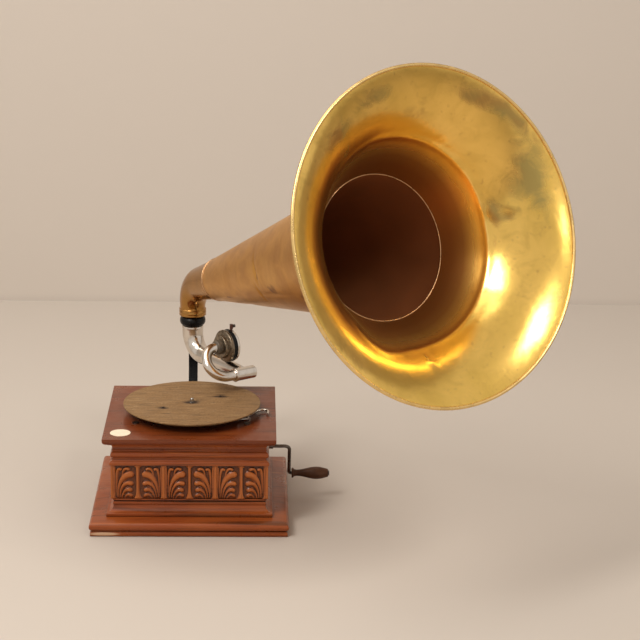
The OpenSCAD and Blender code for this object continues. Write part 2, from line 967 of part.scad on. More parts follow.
module winding_wheel() {
    color("goldenrod")
        translate([barrel_at[0], barrel_at[1], z_crown])
            difference() {
                union() {
                    translate([0, 0, -5])
                        cylinder(h = 3.7, r = crown_r + 2.5);
                    for (i = [0:crown_teeth - 1])
                        rotate([0, 0, (i + 0.5) * 360 / crown_teeth])
                            translate([crown_r - 1.5, -cog_w / 2, -2])
                                cube([3.5, cog_w, 2.6]);
                }
                translate([0, 0, -6])
                    cylinder(h = 8, r = arbor_r);
            }
}

module ratchet_wheel() {
    a = 360 / ratchet_teeth;
    color("silver")
        translate([barrel_at[0], barrel_at[1], z_ratchet])
            rotate([0, 0, 90])
                linear_extrude(ratchet_t)
                    difference() {
                        polygon([for (i = [0:ratchet_teeth - 1], k = [[0, 0], [-a, 2.5]])
                            (ratchet_r - k[1]) * [cos(i * a - 0.08 * k[1] * a), sin(i * a - 0.08 * k[1] * a)]]);
                        circle(r = arbor_r);
                    }
}

module pawl() {
    color("dimgray")
        translate([pawl_at[0], pawl_at[1], z_ratchet])
            rotate([0, 0, pawl_lift]) {
                cylinder(h = z_bed - z_ratchet + bed_t - 0.5, r = pawl_pin);
                cylinder(h = ratchet_t, r = pawl_pin + 2);
                linear_extrude(ratchet_t)
                    polygon([[15.6, -3.9], [15.6, 0.5], [0, 4], [0, -4], [9, -0.9]]);
            }
}

module intermediate_arbor() {
    start = back_dir;
    color("silver")
        translate([mid_at[0], mid_at[1], 0]) {
            translate([0, 0, z_low + low_t + gap])
                cylinder(h = z_bed + bed_t - z_low - low_t, r = mid_r);
            translate([0, 0, z_low - 1])
                cylinder(h = low_t + 2, r = mid_r - 1);
            translate([0, 0, z_barrel - 1])
                gear(pinion_teeth, barrel_mod, barrel_gear_t + 2, 1, start);
        }
}

module intermediate_wheel() {
    start = mid_dir + 180;
    color("goldenrod")
        translate([mid_at[0], mid_at[1], z_mid_wheel])
            gear(wheel_teeth, wheel_mod, 3, mid_r, start);
}

module along_x(x) {
    translate([x, -gov_y, z_gov])
        rotate([0, 90, 0])
            children();
}

// One section of the worm: a core with one blunt lobe for each start
function worm_section() = [for (i = [0:worm_starts - 1], k = [[-34, -1], [-14, 0.7], [14, 0.7], [34, -1]])
    (worm_r + k[1] * gov_mod) * [cos(i * 360 / worm_starts + k[0]), sin(i * 360 / worm_starts + k[0])]];

module governor_shaft() {
    turn = 360 * worm_l / worm_lead;
    color("silver") {
        along_x(gov_end - 2)
            cylinder(h = gov_l + 4, r = shaft_r);
        along_x(-worm_l / 2)
            rotate([0, 0, 90 + 180 / worm_starts + turn / 2])
                linear_extrude(height = worm_l, twist = turn, slices = 14, $fn = 12)
                    polygon(worm_section());
        along_x(disc_x)
            cylinder(h = 2.5, r = disc_r);
        for (x = [spring_x0, spring_x1 - collar_l])
            along_x(x)
                rotate([0, 0, 30])
                    cylinder(h = collar_l, r = collar_r / cos(30), $fn = 6);
    }
}

module governor_weights() {
    color("goldenrod")
        for (i = [0:2])
            along_x((spring_x0 + spring_x1) / 2)
                rotate([0, 0, 120 * i])
                    translate([ball_orbit, 0, 0])
                        difference() {
                            sphere(r = ball_r, $fn = 32);
                            translate([-ball_r - 1, -ball_r, -ball_r])
                                cube([leaf_top + leaf_t - ball_orbit + ball_r + 1, 2 * ball_r, 2 * ball_r]);
                        }
}

// Three bowed leaves that run from collar to collar and carry the weights
module governor_springs() {
    span = spring_x1 - spring_x0 - 2 * collar_l;
    bow = function (d) [for (i = [0:12])
        [collar_r + d + (leaf_top - collar_r) * sin(i * 15), collar_l + span * i / 12]];
    low = bow(0);
    outline = concat(
        [[collar_r + leaf_t, 0], [collar_r, 0]], low, [[collar_r, span + 2 * collar_l],
            [collar_r + leaf_t, span + 2 * collar_l]], [for (i = [12:-1:0]) bow(leaf_t)[i]]);
    color("steelblue")
        for (i = [0:2])
            along_x(spring_x0)
                rotate([0, 0, 120 * i])
                    translate([0, 2.5, 0])
                        rotate([90, 0, 0])
                            linear_extrude(5)
                                polygon(outline);
}

module governor_posts() {
    color("darkslategray")
        for (x = [gov_start, gov_end - 6])
            difference() {
                translate([x, -gov_y - 6, z_gov - 6])
                    cube([6, 12, gov_drop + 6]);
                along_x(x - 1)
                    cylinder(h = 8, r = shaft_r + fit);
            }
}

module speed_lever() {
    color("dimgray")
        translate([0, 0, lever_z]) {
            translate([lever_pivot[0], lever_pivot[1], 0])
                cylinder(h = z_bed - lever_z, r = 3);
            translate([lever_x - lever_w, -gov_y - 4, 0])
                cube([lever_w, gov_y + 4 + speed_at[1] + 3, lever_h]);
            translate([lever_x - 1, -gov_y - 3, 0])
                cube([1 + disc_x - lever_x - pad_gap, 6, lever_h]);
        }
}

module speed_screw() {
    throw = 1.4;
    color("silver")
        speed_place() {
            translate([0, 0, lever_z - 1])
                cylinder(h = z_top + 2 - lever_z + 1, r = speed_r);
            translate([throw, 0, lever_z - 1])
                cylinder(h = lever_h + 2, r = lever_x - lever_w - gap - throw - speed_at[0]);
            translate([0, 0, z_top + gap])
                cylinder(h = 6, r = 8);
        }
}

module winding_bearing() {
    color("darkslategray")
        difference() {
            translate([bearing_x - 4, -crank_front - 10, z_crank - 9])
                cube([8, 20, z_bed - z_crank + 9]);
            translate([bearing_x - 5, -crank_front, z_crank])
                rotate([0, 90, 0])
                    cylinder(h = 10, r = shaft_big + fit);
        }
}

module winding_shaft() {
    color("silver")
        translate([winding_x, -crank_front, z_crank])
            rotate([0, 90, 0])
                difference() {
                    union() {
                        gear(winding_teeth, crown_mod, 6, 0.5, 0);
                        cylinder(h = inner - winding_x + 2, r = shaft_big);
                        translate([0, 0, 6])
                            cylinder(h = 3, r = winding_r + 1.5);
                    }
                    translate([0, 0, rod_depth])
                        cylinder(h = inner, r = rod_r);
                }
}

module crank_bush() {
    color("goldenrod")
        translate([inner, -crank_front, z_crank])
            rotate([0, 90, 0])
                difference() {
                    union() {
                        cylinder(h = board_t + 1, r = bush_tube);
                        translate([0, 0, board_t])
                            cylinder(h = frieze_t + relief + 1, r = bush_r);
                        translate([0, 0, board_t])
                            cylinder(h = frieze_t + relief + 10, r = rod_r + 1.8);
                    }
                    translate([0, 0, -1])
                        cylinder(h = 60, r = rod_r + fit);
                    translate([0, 0, -1])
                        cylinder(h = 4, r = shaft_big + gap);
                }
}

// A quarter bend of the crank's rod from +Z to +X, starting at the origin
module rod_bend(bend) {
    translate([bend, 0, 0])
        rotate([90, 0, 180])
            rotate_extrude(angle = 90)
                translate([bend, 0])
                    circle(r = rod_r, $fn = 24);
}

// The crank turns in a frame whose X axis is its own axis and whose Z axis points from the grip to the shaft
module at_crank() {
    translate([0, -crank_front, z_crank])
        rotate([crank_lean, 0, 0])
            children();
}

module crank_rod() {
    x0 = winding_x + rod_depth;
    color("dimgray")
        at_crank() {
            translate([x0, 0, 0])
                rotate([0, 90, 0])
                    cylinder(h = crank_out - bend_high - x0, r = rod_r);
            translate([crank_out, 0, -bend_high])
                mirror([1, 0, 0])
                    rod_bend(bend_high);
            translate([crank_out, 0, -crank_r + bend_low])
                cylinder(h = crank_r - bend_low - bend_high, r = rod_r);
            translate([crank_out, 0, -crank_r + bend_low])
                mirror([0, 0, 1])
                    rod_bend(bend_low);
            translate([crank_out + bend_low - 1, 0, -crank_r])
                rotate([0, 90, 0])
                    cylinder(h = grip_l + 3.6, r = axle_r);
            translate([crank_out + bend_low + grip_l + 1, 0, -crank_r])
                rotate([0, 90, 0])
                    cylinder(h = 1.6, r = axle_r + 2.4);
        }
}

module crank_grip() {
    section = concat(
        [[axle_r + fit, 0], [9.5, 0], [9.5, 3], [7, 5], [6, 9]],
        [for (i = [1:10]) [6 + (grip_r - 6) * sin(i * 9) * sin(i * 9), 9 + (grip_l * 0.68 - 9) * i / 10]],
        [for (i = [1:6]) [7.25 + (grip_r - 7.25) * cos(i * 15), grip_l * 0.68 + grip_l * 0.32 * i / 6]],
        [[axle_r + fit, grip_l]]);
    color("saddlebrown")
        at_crank()
            translate([crank_out + bend_low + 0.5, 0, -crank_r])
                rotate([0, 90, 0])
                    rotate_extrude()
                        polygon(section);
}

module bracket() {
    sweep = pivot_y + ring_r + 4 - half - foot_t;
    color("black")
        difference() {
            union() {
                translate([-pivot_left - foot_w / 2, half, z_foot - foot_h / 2])
                    cube([foot_w, foot_t, foot_h]);
                translate([-pivot_left, half + foot_t, z_foot + sweep])
                    rotate([0, 90, 0])
                        rotate_extrude(angle = 90, $fn = 96)
                            translate([sweep - upright_d / 2, -upright_w / 2])
                                square([upright_d, upright_w]);
                translate([-pivot_left - upright_w / 2, half + foot_t - 1, z_foot - upright_d / 2])
                    cube([upright_w, 2, upright_d]);
                translate([-pivot_left - upright_w / 2, pivot_y + ring_r + 4 - upright_d / 2, z_foot + sweep])
                    cube([upright_w, upright_d, z_ring + ring_h / 2 - z_foot - sweep]);
                translate([-pivot_left - upright_w / 2, pivot_y + 20, z_ring - ring_h / 2])
                    cube([upright_w, ring_r - 16, ring_h]);
                translate([pivot[0], pivot[1], z_ring])
                    rotate_extrude()
                        polygon(concat([[ring_bore, -ring_h / 2]],
                            arc([ring_r - bulge, bulge - ring_h / 2], bulge, -72, 0, 6),
                            arc([ring_r - bulge, ring_h / 2 - bulge], bulge, 0, 72, 6),
                            [[ring_bore, ring_h / 2]]));
            }
            translate([pivot[0], pivot[1], z_ring - ring_h])
                cylinder(h = 2 * ring_h, r = ring_bore);
            bracket_places()
                cylinder(h = foot_t + 4, r = 2.5);
        }
}

// The four screw places of the bracket's foot, with Z pointing out of the case
module bracket_places() {
    for (x = [-1, 1], z = [-1, 1])
        translate([x * (foot_w / 2 - 10) - pivot_left, half - 1, z_foot + z * (foot_h / 2 - 9)])
            rotate([-90, 0, 0])
                children();
}

module bracket_screws() {
    color("silver")
        bracket_places() {
            translate([0, 0, 1])
                cylinder(h = foot_t, r = 2.5);
            translate([0, 0, foot_t + 1])
                rotate_extrude()
                    polygon(concat([[0, 0], [4.5, 0]], arc([0, -3], 5.4, 33.7, 90, 4)));
        }
}

// Rings of a tube along points, each ring square to the mean direction there
function unit(v) = v / norm(v);
function heading(p, i) = unit(p[min(i + 1, len(p) - 1)] - p[max(i - 1, 0)]);
function tube_ring(p, i, side, r, n) = let (d = heading(p, i), u = cross(side, d))
    [for (k = [0:n - 1]) p[i] + r * (cos(k * 360 / n) * side + sin(k * 360 / n) * u)];

// A hollow tube through points that lie in one plane, whose normal is side
module tube(p, radii, wall, side, n) {
    m = len(p);
    outer = [for (i = [0:m - 1]) each tube_ring(p, i, side, radii[i], n)];
    bore = [for (i = [0:m - 1]) each tube_ring(p, i, side, radii[i] - wall, n)];
    last = (m - 1) * n;
    far = m * n;
    quads = [for (i = [0:m - 2], k = [0:n - 1]) let (a = i * n + k, b = i * n + (k + 1) % n)
        each [[a, b, b + n], [a, b + n, a + n],
            [far + a, far + b + n, far + b], [far + a, far + a + n, far + b + n]]];
    ends = [for (k = [0:n - 1]) let (b = (k + 1) % n)
        each [[k, far + b, b], [k, far + k, far + b],
            [last + k, last + b, far + last + b], [last + k, far + last + b, far + last + k]]];
    polyhedron(points = concat(outer, bore), faces = concat(quads, ends));
}

module at_pivot(az) {
    translate([pivot[0], pivot[1], 0])
        rotate([0, 0, az - 90])
            children();
}

module horn_elbow() {
    bend = [for (i = [0:elbow_steps]) let (t = elbow_turn * i / elbow_steps)
        [elbow_bend * (1 - cos(t)), 0, elbow_top + elbow_bend * sin(t)]];
    run = [for (i = [1:3]) let (q = elbow_end + elbow_l * i / 3 * horn_dir) [q[0], 0, q[1]]];
    points = concat([[0, 0, elbow_top - 3]], bend, run);
    along = concat([0], [for (i = [0:elbow_steps]) elbow_arc * i / elbow_steps],
        [for (i = [1:3]) elbow_arc + elbow_l * i / 3]);
    radii = [for (s = along) elbow_r + elbow_rate * s];
    z_collar = z_ring + ring_h / 2 + gap;
    color("goldenrod")
        at_pivot(horn_az) {
            tube(points, radii, elbow_wall, [0, 1, 0], 32);
            difference() {
                union() {
                    translate([0, 0, z_collar])
                        cylinder(h = elbow_top - z_collar, r = elbow_r + 0.2);
                    translate([0, 0, z_collar])
                        cylinder(h = collar_h, r = elbow_r + collar_out);
                    translate([0, 0, z_ring + ring_h / 2 - spigot_l])
                        cylinder(h = spigot_l + 1, r = ring_bore - fit);
                }
                translate([0, 0, z_ring - ring_h])
                    cylinder(h = 2 * ring_h, r = ring_bore - 1.5);
                translate([0, 0, z_collar + 4])
                    cylinder(h = elbow_top, r = elbow_r - elbow_wall - 0.2);
            }
        }
}

// The horn stands in a frame whose Z axis is the horn's own axis
module at_horn(d) {
    at_pivot(horn_az)
        translate([horn_start[0], 0, horn_start[1]])
            rotate([0, 90 - horn_el, 0])
                translate([0, 0, d])
                    children();
}

module horn_cone() {
    color("goldenrod")
        at_horn(0)
            rotate_extrude($fn = 96)
                polygon(concat(
                    [[cone_r1 - horn_wall, 0], [cone_r1 - horn_wall - sleeve_l * elbow_rate, -sleeve_l]],
                    arc([cone_r1 - 0.2, 1.5 - sleeve_l], 1.5, -90, 60, 5),
                    [[cone_r1, 0], [cone_r2, cone_l], [cone_r2 - horn_wall, cone_l]]));
}

// Points of the bell's curve, from the cone to the mouth, as radius and distance
function curve(a, b, c, d, t) =
    pow(1 - t, 3) * a + 3 * t * pow(1 - t, 2) * b + 3 * t * t * (1 - t) * c + t * t * t * d;
function bell_curve(shift) = [for (i = [0:bell_steps]) curve(
    [cone_r2 + shift, 0],
    [cone_r2 + shift + bell_l * 0.38 * sin(bell_lead), bell_l * 0.38 * cos(bell_lead)],
    [bell_r + shift - bell_l * 0.56 * sin(bell_flare), bell_l - bell_l * 0.56 * cos(bell_flare)],
    [bell_r + shift, bell_l], i / bell_steps)];

module horn_bell() {
    outer = bell_curve(0);
    bore = bell_curve(-horn_wall);
    color("gold")
        at_horn(cone_l)
            rotate_extrude($fn = 96)
                union() {
                    polygon(concat(outer, [for (i = [bell_steps:-1:0]) bore[i]]));
                    translate([bell_r - rim_r, bell_l])
                        circle(r = rim_r, $fn = 16);
                }
}

module tone_arm() {
    z_bend = z_arm + arm_bend;
    z_neck_low = z_ring - ring_h / 2 - gap;
    steps = 10;
    runs = 8;
    bend = [for (i = [0:steps]) let (t = 90 * i / steps)
        [arm_bend * (1 - cos(t)), 0, z_bend - arm_bend * sin(t)]];
    run = [for (i = [1:runs]) [arm_bend + (arm_reach - arm_bend) * i / runs, 0, z_arm]];
    points = concat([[0, 0, z_neck_low - 2.5]], bend, run);
    arc_l = arm_bend * PI / 2;
    along = concat([0], [for (i = [0:steps]) arc_l * i / steps],
        [for (i = [1:runs]) arc_l + (arm_reach - arm_bend) * i / runs]);
    total = along[len(along) - 1];
    radii = [for (s = along) arm_r1 + (arm_r2 - arm_r1) * s / total];
    color("silver")
        at_pivot(arm_az) {
            difference() {
                tube(points, radii, arm_wall, [0, 1, 0], 32);
                translate([arm_reach, cross_l, z_arm])
                    rotate([90, 0, 0])
                        cylinder(h = 2 * cross_l, r = cross_r);
            }
            difference() {
                union() {
                    translate([0, 0, z_neck_low - 5])
                        cylinder(h = 5, r = arm_r1 + 0.5);
                    translate([0, 0, z_neck_low - 1])
                        cylinder(h = spigot_l + 1, r = ring_bore - fit);
                }
                translate([0, 0, z_neck_low - 6])
                    cylinder(h = ring_h, r = ring_bore - 2);
            }
        }
}

// The crosspiece's frame: Y is its own axis, X points away from the pivot
module at_cross() {
    at_pivot(arm_az)
        translate([arm_reach, 0, z_arm])
            children();
}

// Turns a shape drawn along Z so that it lies along Y
module along_y(y) {
    translate([0, y, 0])
        rotate([-90, 0, 0])
            children();
}

module crosspiece() {
    color("silver")
        at_cross()
            difference() {
                union() {
                    along_y(-cross_l / 2)
                        rotate_extrude()
                            polygon(concat([[0, 0], [cross_r, 0]], arc([cross_r - 2, cross_l - 2], 2, 0, 90, 4),
                                [[0, cross_l]]));
                    along_y(-cross_l / 2)
                        rotate_extrude()
                            translate([cross_r - 0.8, 2.2])
                                circle(r = 2, $fn = 24);
                }
                along_y(-cross_l / 2 - 1)
                    cylinder(h = cross_l - 2, r = neck_bore);
                translate([-cross_r - 1, 0, 0])
                    rotate([0, 90, 0])
                        cylinder(h = cross_r + 1, r = arm_r2 - arm_wall - 1);
            }
}

// The gooseneck's frame: X points from the crosspiece's axis to the sound box
module at_neck() {
    at_cross()
        rotate([0, -neck_lift, 0])
            children();
}

module neck_section() {
    difference() {
        circle(r = neck_r);
        circle(r = neck_r - neck_wall);
    }
}

module gooseneck() {
    color("silver")
        at_neck() {
            along_y(neck_y)
                linear_extrude(neck_run + neck_in)
                    neck_section();
            translate([neck_bend, neck_y, 0])
                rotate([0, 0, 180])
                    rotate_extrude(angle = 180)
                        translate([neck_bend, 0])
                            neck_section();
            translate([2 * neck_bend, 0, 0])
                along_y(neck_y)
                    linear_extrude(neck_out)
                        neck_section();
        }
}

// The sound box's frame: Z is its own axis, X points to the needle clamp
module at_box(y) {
    at_neck()
        translate([2 * neck_bend, neck_y + y, 0])
            rotate([0, neck_lift - stylus_turn, 0])
                rotate([-90, 0, 0])
                    children();
}

module rubber_flange() {
    color("darkslategray")
        at_box(0)
            difference() {
                rotate_extrude()
                    polygon(concat([[0, 0], [flange_r - 3, 0]], arc([flange_r - 3, 3], 3, -60, 0, 3),
                        [[flange_r, flange_h], [0, flange_h]]));
                translate([0, 0, -1])
                    cylinder(h = flange_h + 2, r = neck_bore);
            }
}

module sound_box_body() {
    color("dimgray")
        at_box(flange_h)
            difference() {
                rotate_extrude()
                    polygon(concat([[0, 0]], arc([back_r - 2, 2], 2, -90, 0, 4), [[back_r, 7]],
                        arc([box_r - 3, 11], 3, -90, 0, 4),
                        [[box_r, box_h - 8], [box_r - 1.2, box_h - 8], [box_r - 1.2, box_h - 1],
                            [box_r, box_h - 1],
                            [box_r, box_h], [0, box_h]]));
                translate([0, 0, back_t])
                    cylinder(h = box_h, r = box_r - 2 * box_wall);
                translate([0, 0, box_h - 3])
                    cylinder(h = 4, r = box_r - box_wall);
                translate([0, 0, -1])
                    cylinder(h = back_t + 2, r = neck_r - neck_wall);
            }
}

module diaphragm() {
    color("gainsboro")
        at_box(flange_h + box_h - 3)
            cylinder(h = 0.5, r = box_r - box_wall);
}

module face_ring() {
    color("silver")
        at_box(flange_h + box_h)
            difference() {
                rotate_extrude()
                    polygon(concat([[box_r - 7, 0], [box_r, 0], [box_r, face_h - 3]],
                        arc([box_r - 3, face_h - 3], 3, 0, 90, 5), [[box_r - 7, face_h - 2]]));
                translate([box_r - 8, -2.5, 2])
                    cube([9, 5, face_h]);
            }
}

module stylus_bar() {
    z0 = 2.3;
    color("gray")
        at_box(flange_h + box_h) {
            translate([0, -2, z0])
                cube([clamp_out, 4, 3]);
            translate([0, 0, -2.5])
                cylinder(h = z0 + 3.5, r = 1.5);
            difference() {
                translate([clamp_out - 2, 0, z0 + 1.5])
                    rotate([0, 90, 0])
                        cylinder(h = 9, r = 3.2);
                translate([clamp_out + 1, 0, z0 + 1.5])
                    rotate([0, 90, 0])
                        cylinder(h = 7, r = 0.9);
                translate([clamp_out + 3, 0, z0 + 1.5])
                    cylinder(h = 6, r = clamp_screw + fit);
            }
        }
}

module needle_screw() {
    color("gray")
        at_box(flange_h + box_h)
            translate([clamp_out + 3, 0, 3.8]) {
                translate([0, 0, 1.1])
                    cylinder(h = 5, r = clamp_screw);
                translate([0, 0, 3.6])
                    cylinder(h = 4, r = 3, $fn = 24);
            }
}

plinth();
bottom_board();
base_moulding();
front_board();
back_board();
left_board();
right_board();
front_frieze();
left_frieze();
right_frieze();
neck_moulding();
top_board();
blank_plate();
turntable();
table_rivets();
spindle();
spindle_pinion();
governor_wheel();
brake_pivot();
brake_lever();
brake_pad();
bedplate();
rubber_washers();
motor_bolts();
motor_pillars();
lower_plate();
spring_barrel();
barrel_cover();
mainspring();
barrel_arbor();
winding_wheel();
ratchet_wheel();
pawl();
intermediate_arbor();
intermediate_wheel();
governor_posts();
governor_shaft();
governor_weights();
governor_springs();
speed_lever();
speed_screw();
winding_bearing();
winding_shaft();
crank_bush();
crank_rod();
crank_grip();
bracket();
bracket_screws();
horn_elbow();
horn_cone();
horn_bell();
tone_arm();
crosspiece();
gooseneck();
rubber_flange();
sound_box_body();
diaphragm();
face_ring();
stylus_bar();
needle_screw();
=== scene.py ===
"""Horn gramophone: skins, carving, materials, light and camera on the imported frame."""
import json
import math

import bmesh
import bpy
import numpy as np
from bpy.props import FloatProperty, FloatVectorProperty, IntProperty, PointerProperty
from mathutils import Matrix, Vector


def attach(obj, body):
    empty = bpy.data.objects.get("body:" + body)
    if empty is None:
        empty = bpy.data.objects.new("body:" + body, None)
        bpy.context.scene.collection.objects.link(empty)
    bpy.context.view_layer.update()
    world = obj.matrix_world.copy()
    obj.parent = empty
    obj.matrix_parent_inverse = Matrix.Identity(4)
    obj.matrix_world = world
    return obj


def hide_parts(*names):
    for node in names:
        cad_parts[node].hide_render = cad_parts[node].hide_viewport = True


bl_info = {
    "name": "Horn gramophone",
    "version": (1, 0, 0),
    "blender": (4, 5, 0),
    "location": "View3D > Sidebar > Gramophone",
    "description": "Adds the skins, the carving, the materials and the stage of a horn gramophone",
    "category": "Object",
}

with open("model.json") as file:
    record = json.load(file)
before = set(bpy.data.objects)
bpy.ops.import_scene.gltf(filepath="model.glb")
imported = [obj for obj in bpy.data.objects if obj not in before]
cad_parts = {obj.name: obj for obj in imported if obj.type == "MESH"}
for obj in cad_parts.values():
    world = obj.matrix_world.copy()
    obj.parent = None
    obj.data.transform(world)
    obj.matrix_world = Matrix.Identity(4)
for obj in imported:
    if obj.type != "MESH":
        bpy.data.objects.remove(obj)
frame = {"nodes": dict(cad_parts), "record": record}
MM = 0.001


# Settings

def metres(name, default, description):
    """A length that a user can change."""
    return FloatProperty(name=name, default=default, description=description, unit="LENGTH", precision=4)


def degrees(name, default, description):
    """An angle that a user can change, given and shown in degrees and held in radians."""
    return FloatProperty(name=name, default=math.radians(default), description=description, subtype="ANGLE")


def linear(name, default, description):
    """A linear colour that a user can change."""
    return FloatVectorProperty(name=name, default=default, description=description, subtype="COLOR")


class HornSizes(bpy.types.PropertyGroup):
    """Sizes of the horn's skins"""
    pivot_x: metres("Pivot X", -0.006, "Where the swivel's axis stands, left to right")
    pivot_y: metres("Pivot Y", 0.230, "Where the swivel's axis stands, front to back")
    ring_z: metres("Height of the ring's middle", 0.2889, "Height of the bracket's ring that the elbow turns in")
    turn: degrees("Turn to the right", 32.0, "How far the horn points to the right of straight ahead")
    rise: degrees("Rise above level", 18.5, "How far the horn's axis rises above level")
    elbow_r: metres("Elbow radius at the ring", 0.0246, "Outer radius of the elbow's foot")
    elbow_rise: metres("Straight part of the elbow", 0.0296, "Upright part below the bend")
    elbow_bend: metres("Radius of the elbow's bend", 0.0575, "Radius of the bend's middle line")
    elbow_l: metres("Elbow's straight taper", 0.073, "Taper between the bend and the cone")
    cone_r: metres("Cone radius at the elbow", 0.0413, "Outer radius of the cone's small end")
    cone_l: metres("Cone length", 0.5405, "Length of the cone along its axis")
    bell_r: metres("Cone radius at the bell", 0.1234, "Outer radius where the cone meets the bell")
    bell_l: metres("Bell depth", 0.1682, "Length of the bell along its axis")
    mouth_r: metres("Mouth radius", 0.2772, "Outer radius of the mouth at the rim")
    rim_r: metres("Rolled rim radius", 0.003, "Radius of the bead that the rim is rolled to")
    wall: metres("Sheet thickness", 0.0007, "Thickness of the brass sheet")
    dent: metres("Depth of the waves", 0.0010, "Height of the gentle waves left by age")
    crease: metres("Height of the crease", -0.0009, "Height of the line where the flare begins, below 0 a groove")


class ArmSizes(bpy.types.PropertyGroup):
    """Sizes of the tone arm's skin"""
    turn: degrees("Turn to the right", 35.0, "How far the arm points to the right of straight ahead")
    reach: metres("Pivot to crosspiece", 0.177, "Length from the pivot to the crosspiece")
    level: metres("Height of the level part", 0.2259, "Height of the arm's middle line over the turntable")
    bend: metres("Radius of the bend", 0.040, "Radius of the bend under the ring")
    start_r: metres("Radius at the pivot", 0.0204, "Outer radius at the ring")
    end_r: metres("Radius at the crosspiece", 0.011, "Outer radius at the crosspiece")
    wall: metres("Wall", 0.0012, "Thickness of the tube's wall")


class CarvingSizes(bpy.types.PropertyGroup):
    """Sizes of the carved frieze"""
    face: metres("Middle to the ground", 0.1376, "From the case's middle to the ground that the leaves rise from")
    low: metres("Lower edge", 0.0575, "Height of the frieze's lower edge")
    high: metres("Upper edge", 0.123, "Height of the frieze's upper edge")
    relief: metres("Height of the relief", 0.0044, "How far the leaves stand out")
    board: metres("Thickness behind the ground", 0.0055, "Wood left behind the ground")
    repeats: IntProperty(name="Motifs on a side", default=3, min=1, description="Pairs of leaves on the front")
    step: metres("Distance of the mesh lines", 0.0007, "Fineness of the carved mesh")


class LookColours(bpy.types.PropertyGroup):
    """Main colours, linear"""
    oak: linear("Oak", (0.275, 0.055, 0.0095), "Varnished oak")
    oak_dark: linear("Oak grain", (0.075, 0.017, 0.005), "Dark grain of the oak")
    oak_gold: linear("Oak worn", (0.44, 0.125, 0.024), "Oak where the varnish is worn thin")
    brass: linear("Brass", (0.96, 0.615, 0.160), "Polished brass inside the bell")
    brass_dull: linear("Dull brass", (0.64, 0.34, 0.092), "Dull brass outside the horn")
    nickel: linear("Nickel", (0.70, 0.64, 0.57), "Old nickel plate")
    table: linear("Turntable", (0.24, 0.135, 0.055), "Worn top of the turntable")
    floor: linear("Floor", (0.55, 0.482, 0.414), "Floor, and a little lighter the wall")


# Mesh helpers

def linked(name, data):
    """An object with this data, put in the scene."""
    obj = bpy.data.objects.new(name, data)
    bpy.context.scene.collection.objects.link(obj)
    return obj


def shade_smooth(mesh):
    """Shades every face of a mesh smooth."""
    mesh.polygons.foreach_set("use_smooth", [True] * len(mesh.polygons))


def mesh_piece(name, verts, faces, material, body):
    """A smooth mesh object made from points and faces, on a body."""
    mesh = bpy.data.meshes.new(name)
    mesh.from_pydata([tuple(v) for v in verts], [], [tuple(f) for f in faces])
    mesh.validate()
    mesh.update()
    shade_smooth(mesh)
    obj = linked(name, mesh)
    mesh.materials.append(material)
    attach(obj, body)
    return obj


def grid_faces(rows, cols, closed=True, offset=0, flip=False):
    """Quads of a grid of points, closed round each row."""
    faces = []
    span = cols if closed else cols - 1
    for i in range(rows - 1):
        for k in range(span):
            a, b = i * cols + k, i * cols + (k + 1) % cols
            quad = (a, b, b + cols, a + cols)
            faces.append(tuple(offset + q for q in (quad[::-1] if flip else quad)))
    return faces


def frame_of(direction, side):
    """Two unit vectors square to a direction, the first one near side."""
    d = Vector(direction).normalized()
    u = (Vector(side) - d * Vector(side).dot(d)).normalized()
    return u, d.cross(u)


def circle(centre, radius, u, w, n):
    """n points round a centre, in the plane of the directions u and w."""
    angles = [2 * math.pi * k / n for k in range(n)]
    return [centre + radius * (math.cos(a) * u + math.sin(a) * w) for a in angles]


def rings(points, radii, side, n):
    """Rings of n points round a path whose plane has the normal side."""
    out = []
    for i, p in enumerate(points):
        d = Vector(points[min(i + 1, len(points) - 1)]) - Vector(points[max(i - 1, 0)])
        out += circle(Vector(p), radii[i], *frame_of(d, side), n)
    return out


def tube(points, radii, wall, side, n, flip):
    """Points and faces of a hollow tube along a path. flip turns the faces of a path that runs upwards."""
    verts = rings(points, radii, side, n) + rings(points, [r - wall for r in radii], side, n)
    rows = len(points)
    inside = rows * n
    faces = grid_faces(rows, n, flip=flip) + grid_faces(rows, n, offset=inside, flip=not flip)
    for row in (0, rows - 1):
        for k in range(n):
            a, b = row * n + k, row * n + (k + 1) % n
            faces.append((a, b, b + inside, a + inside))
    return verts, faces


def bezier(t, points):
    """Place at t, from 0 to 1, along the curve that four points draw."""
    a, b, c, d = (np.array(p) for p in points)
    return (1 - t) ** 3 * a + 3 * t * (1 - t) ** 2 * b + 3 * t * t * (1 - t) * c + t ** 3 * d


def turned(profile, n, centre, axis, side):
    """Points of a turned form: profile gives radius and distance along the axis."""
    d = Vector(axis).normalized()
    out = []
    for r, t in profile:
        out += circle(Vector(centre) + d * t, r, *frame_of(d, side), n)
    return out


# Node trees

def plug(tree, kind, inputs=None, **values):
    """Adds a node, sets its values, and links or sets its inputs, where a node stands for its first output."""
    node = tree.nodes.new(kind)
    for key, value in values.items():
        setattr(node, key, value)
    for key, value in (inputs or {}).items():
        if isinstance(value, bpy.types.Node):
            value = value.outputs[0]
        if isinstance(value, bpy.types.NodeSocket):
            tree.links.new(value, node.inputs[key])
        else:
            node.inputs[key].default_value = value
    return node


# Geometry Nodes

BEAD_STEPS, BEAD_SIDES = 180, 16  # points round a ring and round its bead


def geometry(tree, kind, inputs):
    """Adds a geometry node."""
    return plug(tree, "GeometryNode" + kind, inputs)


def new_tree(name, inputs):
    """An empty geometry tree with named inputs, its group input and its group output."""
    tree = bpy.data.node_groups.new(name, "GeometryNodeTree")
    tree.interface.new_socket("Geometry", in_out="INPUT", socket_type="NodeSocketGeometry")
    for label, kind in inputs:
        tree.interface.new_socket(label, in_out="INPUT", socket_type="NodeSocket" + kind)
    tree.interface.new_socket("Geometry", in_out="OUTPUT", socket_type="NodeSocketGeometry")
    return tree, plug(tree, "NodeGroupInput").outputs, plug(tree, "NodeGroupOutput").inputs[0]


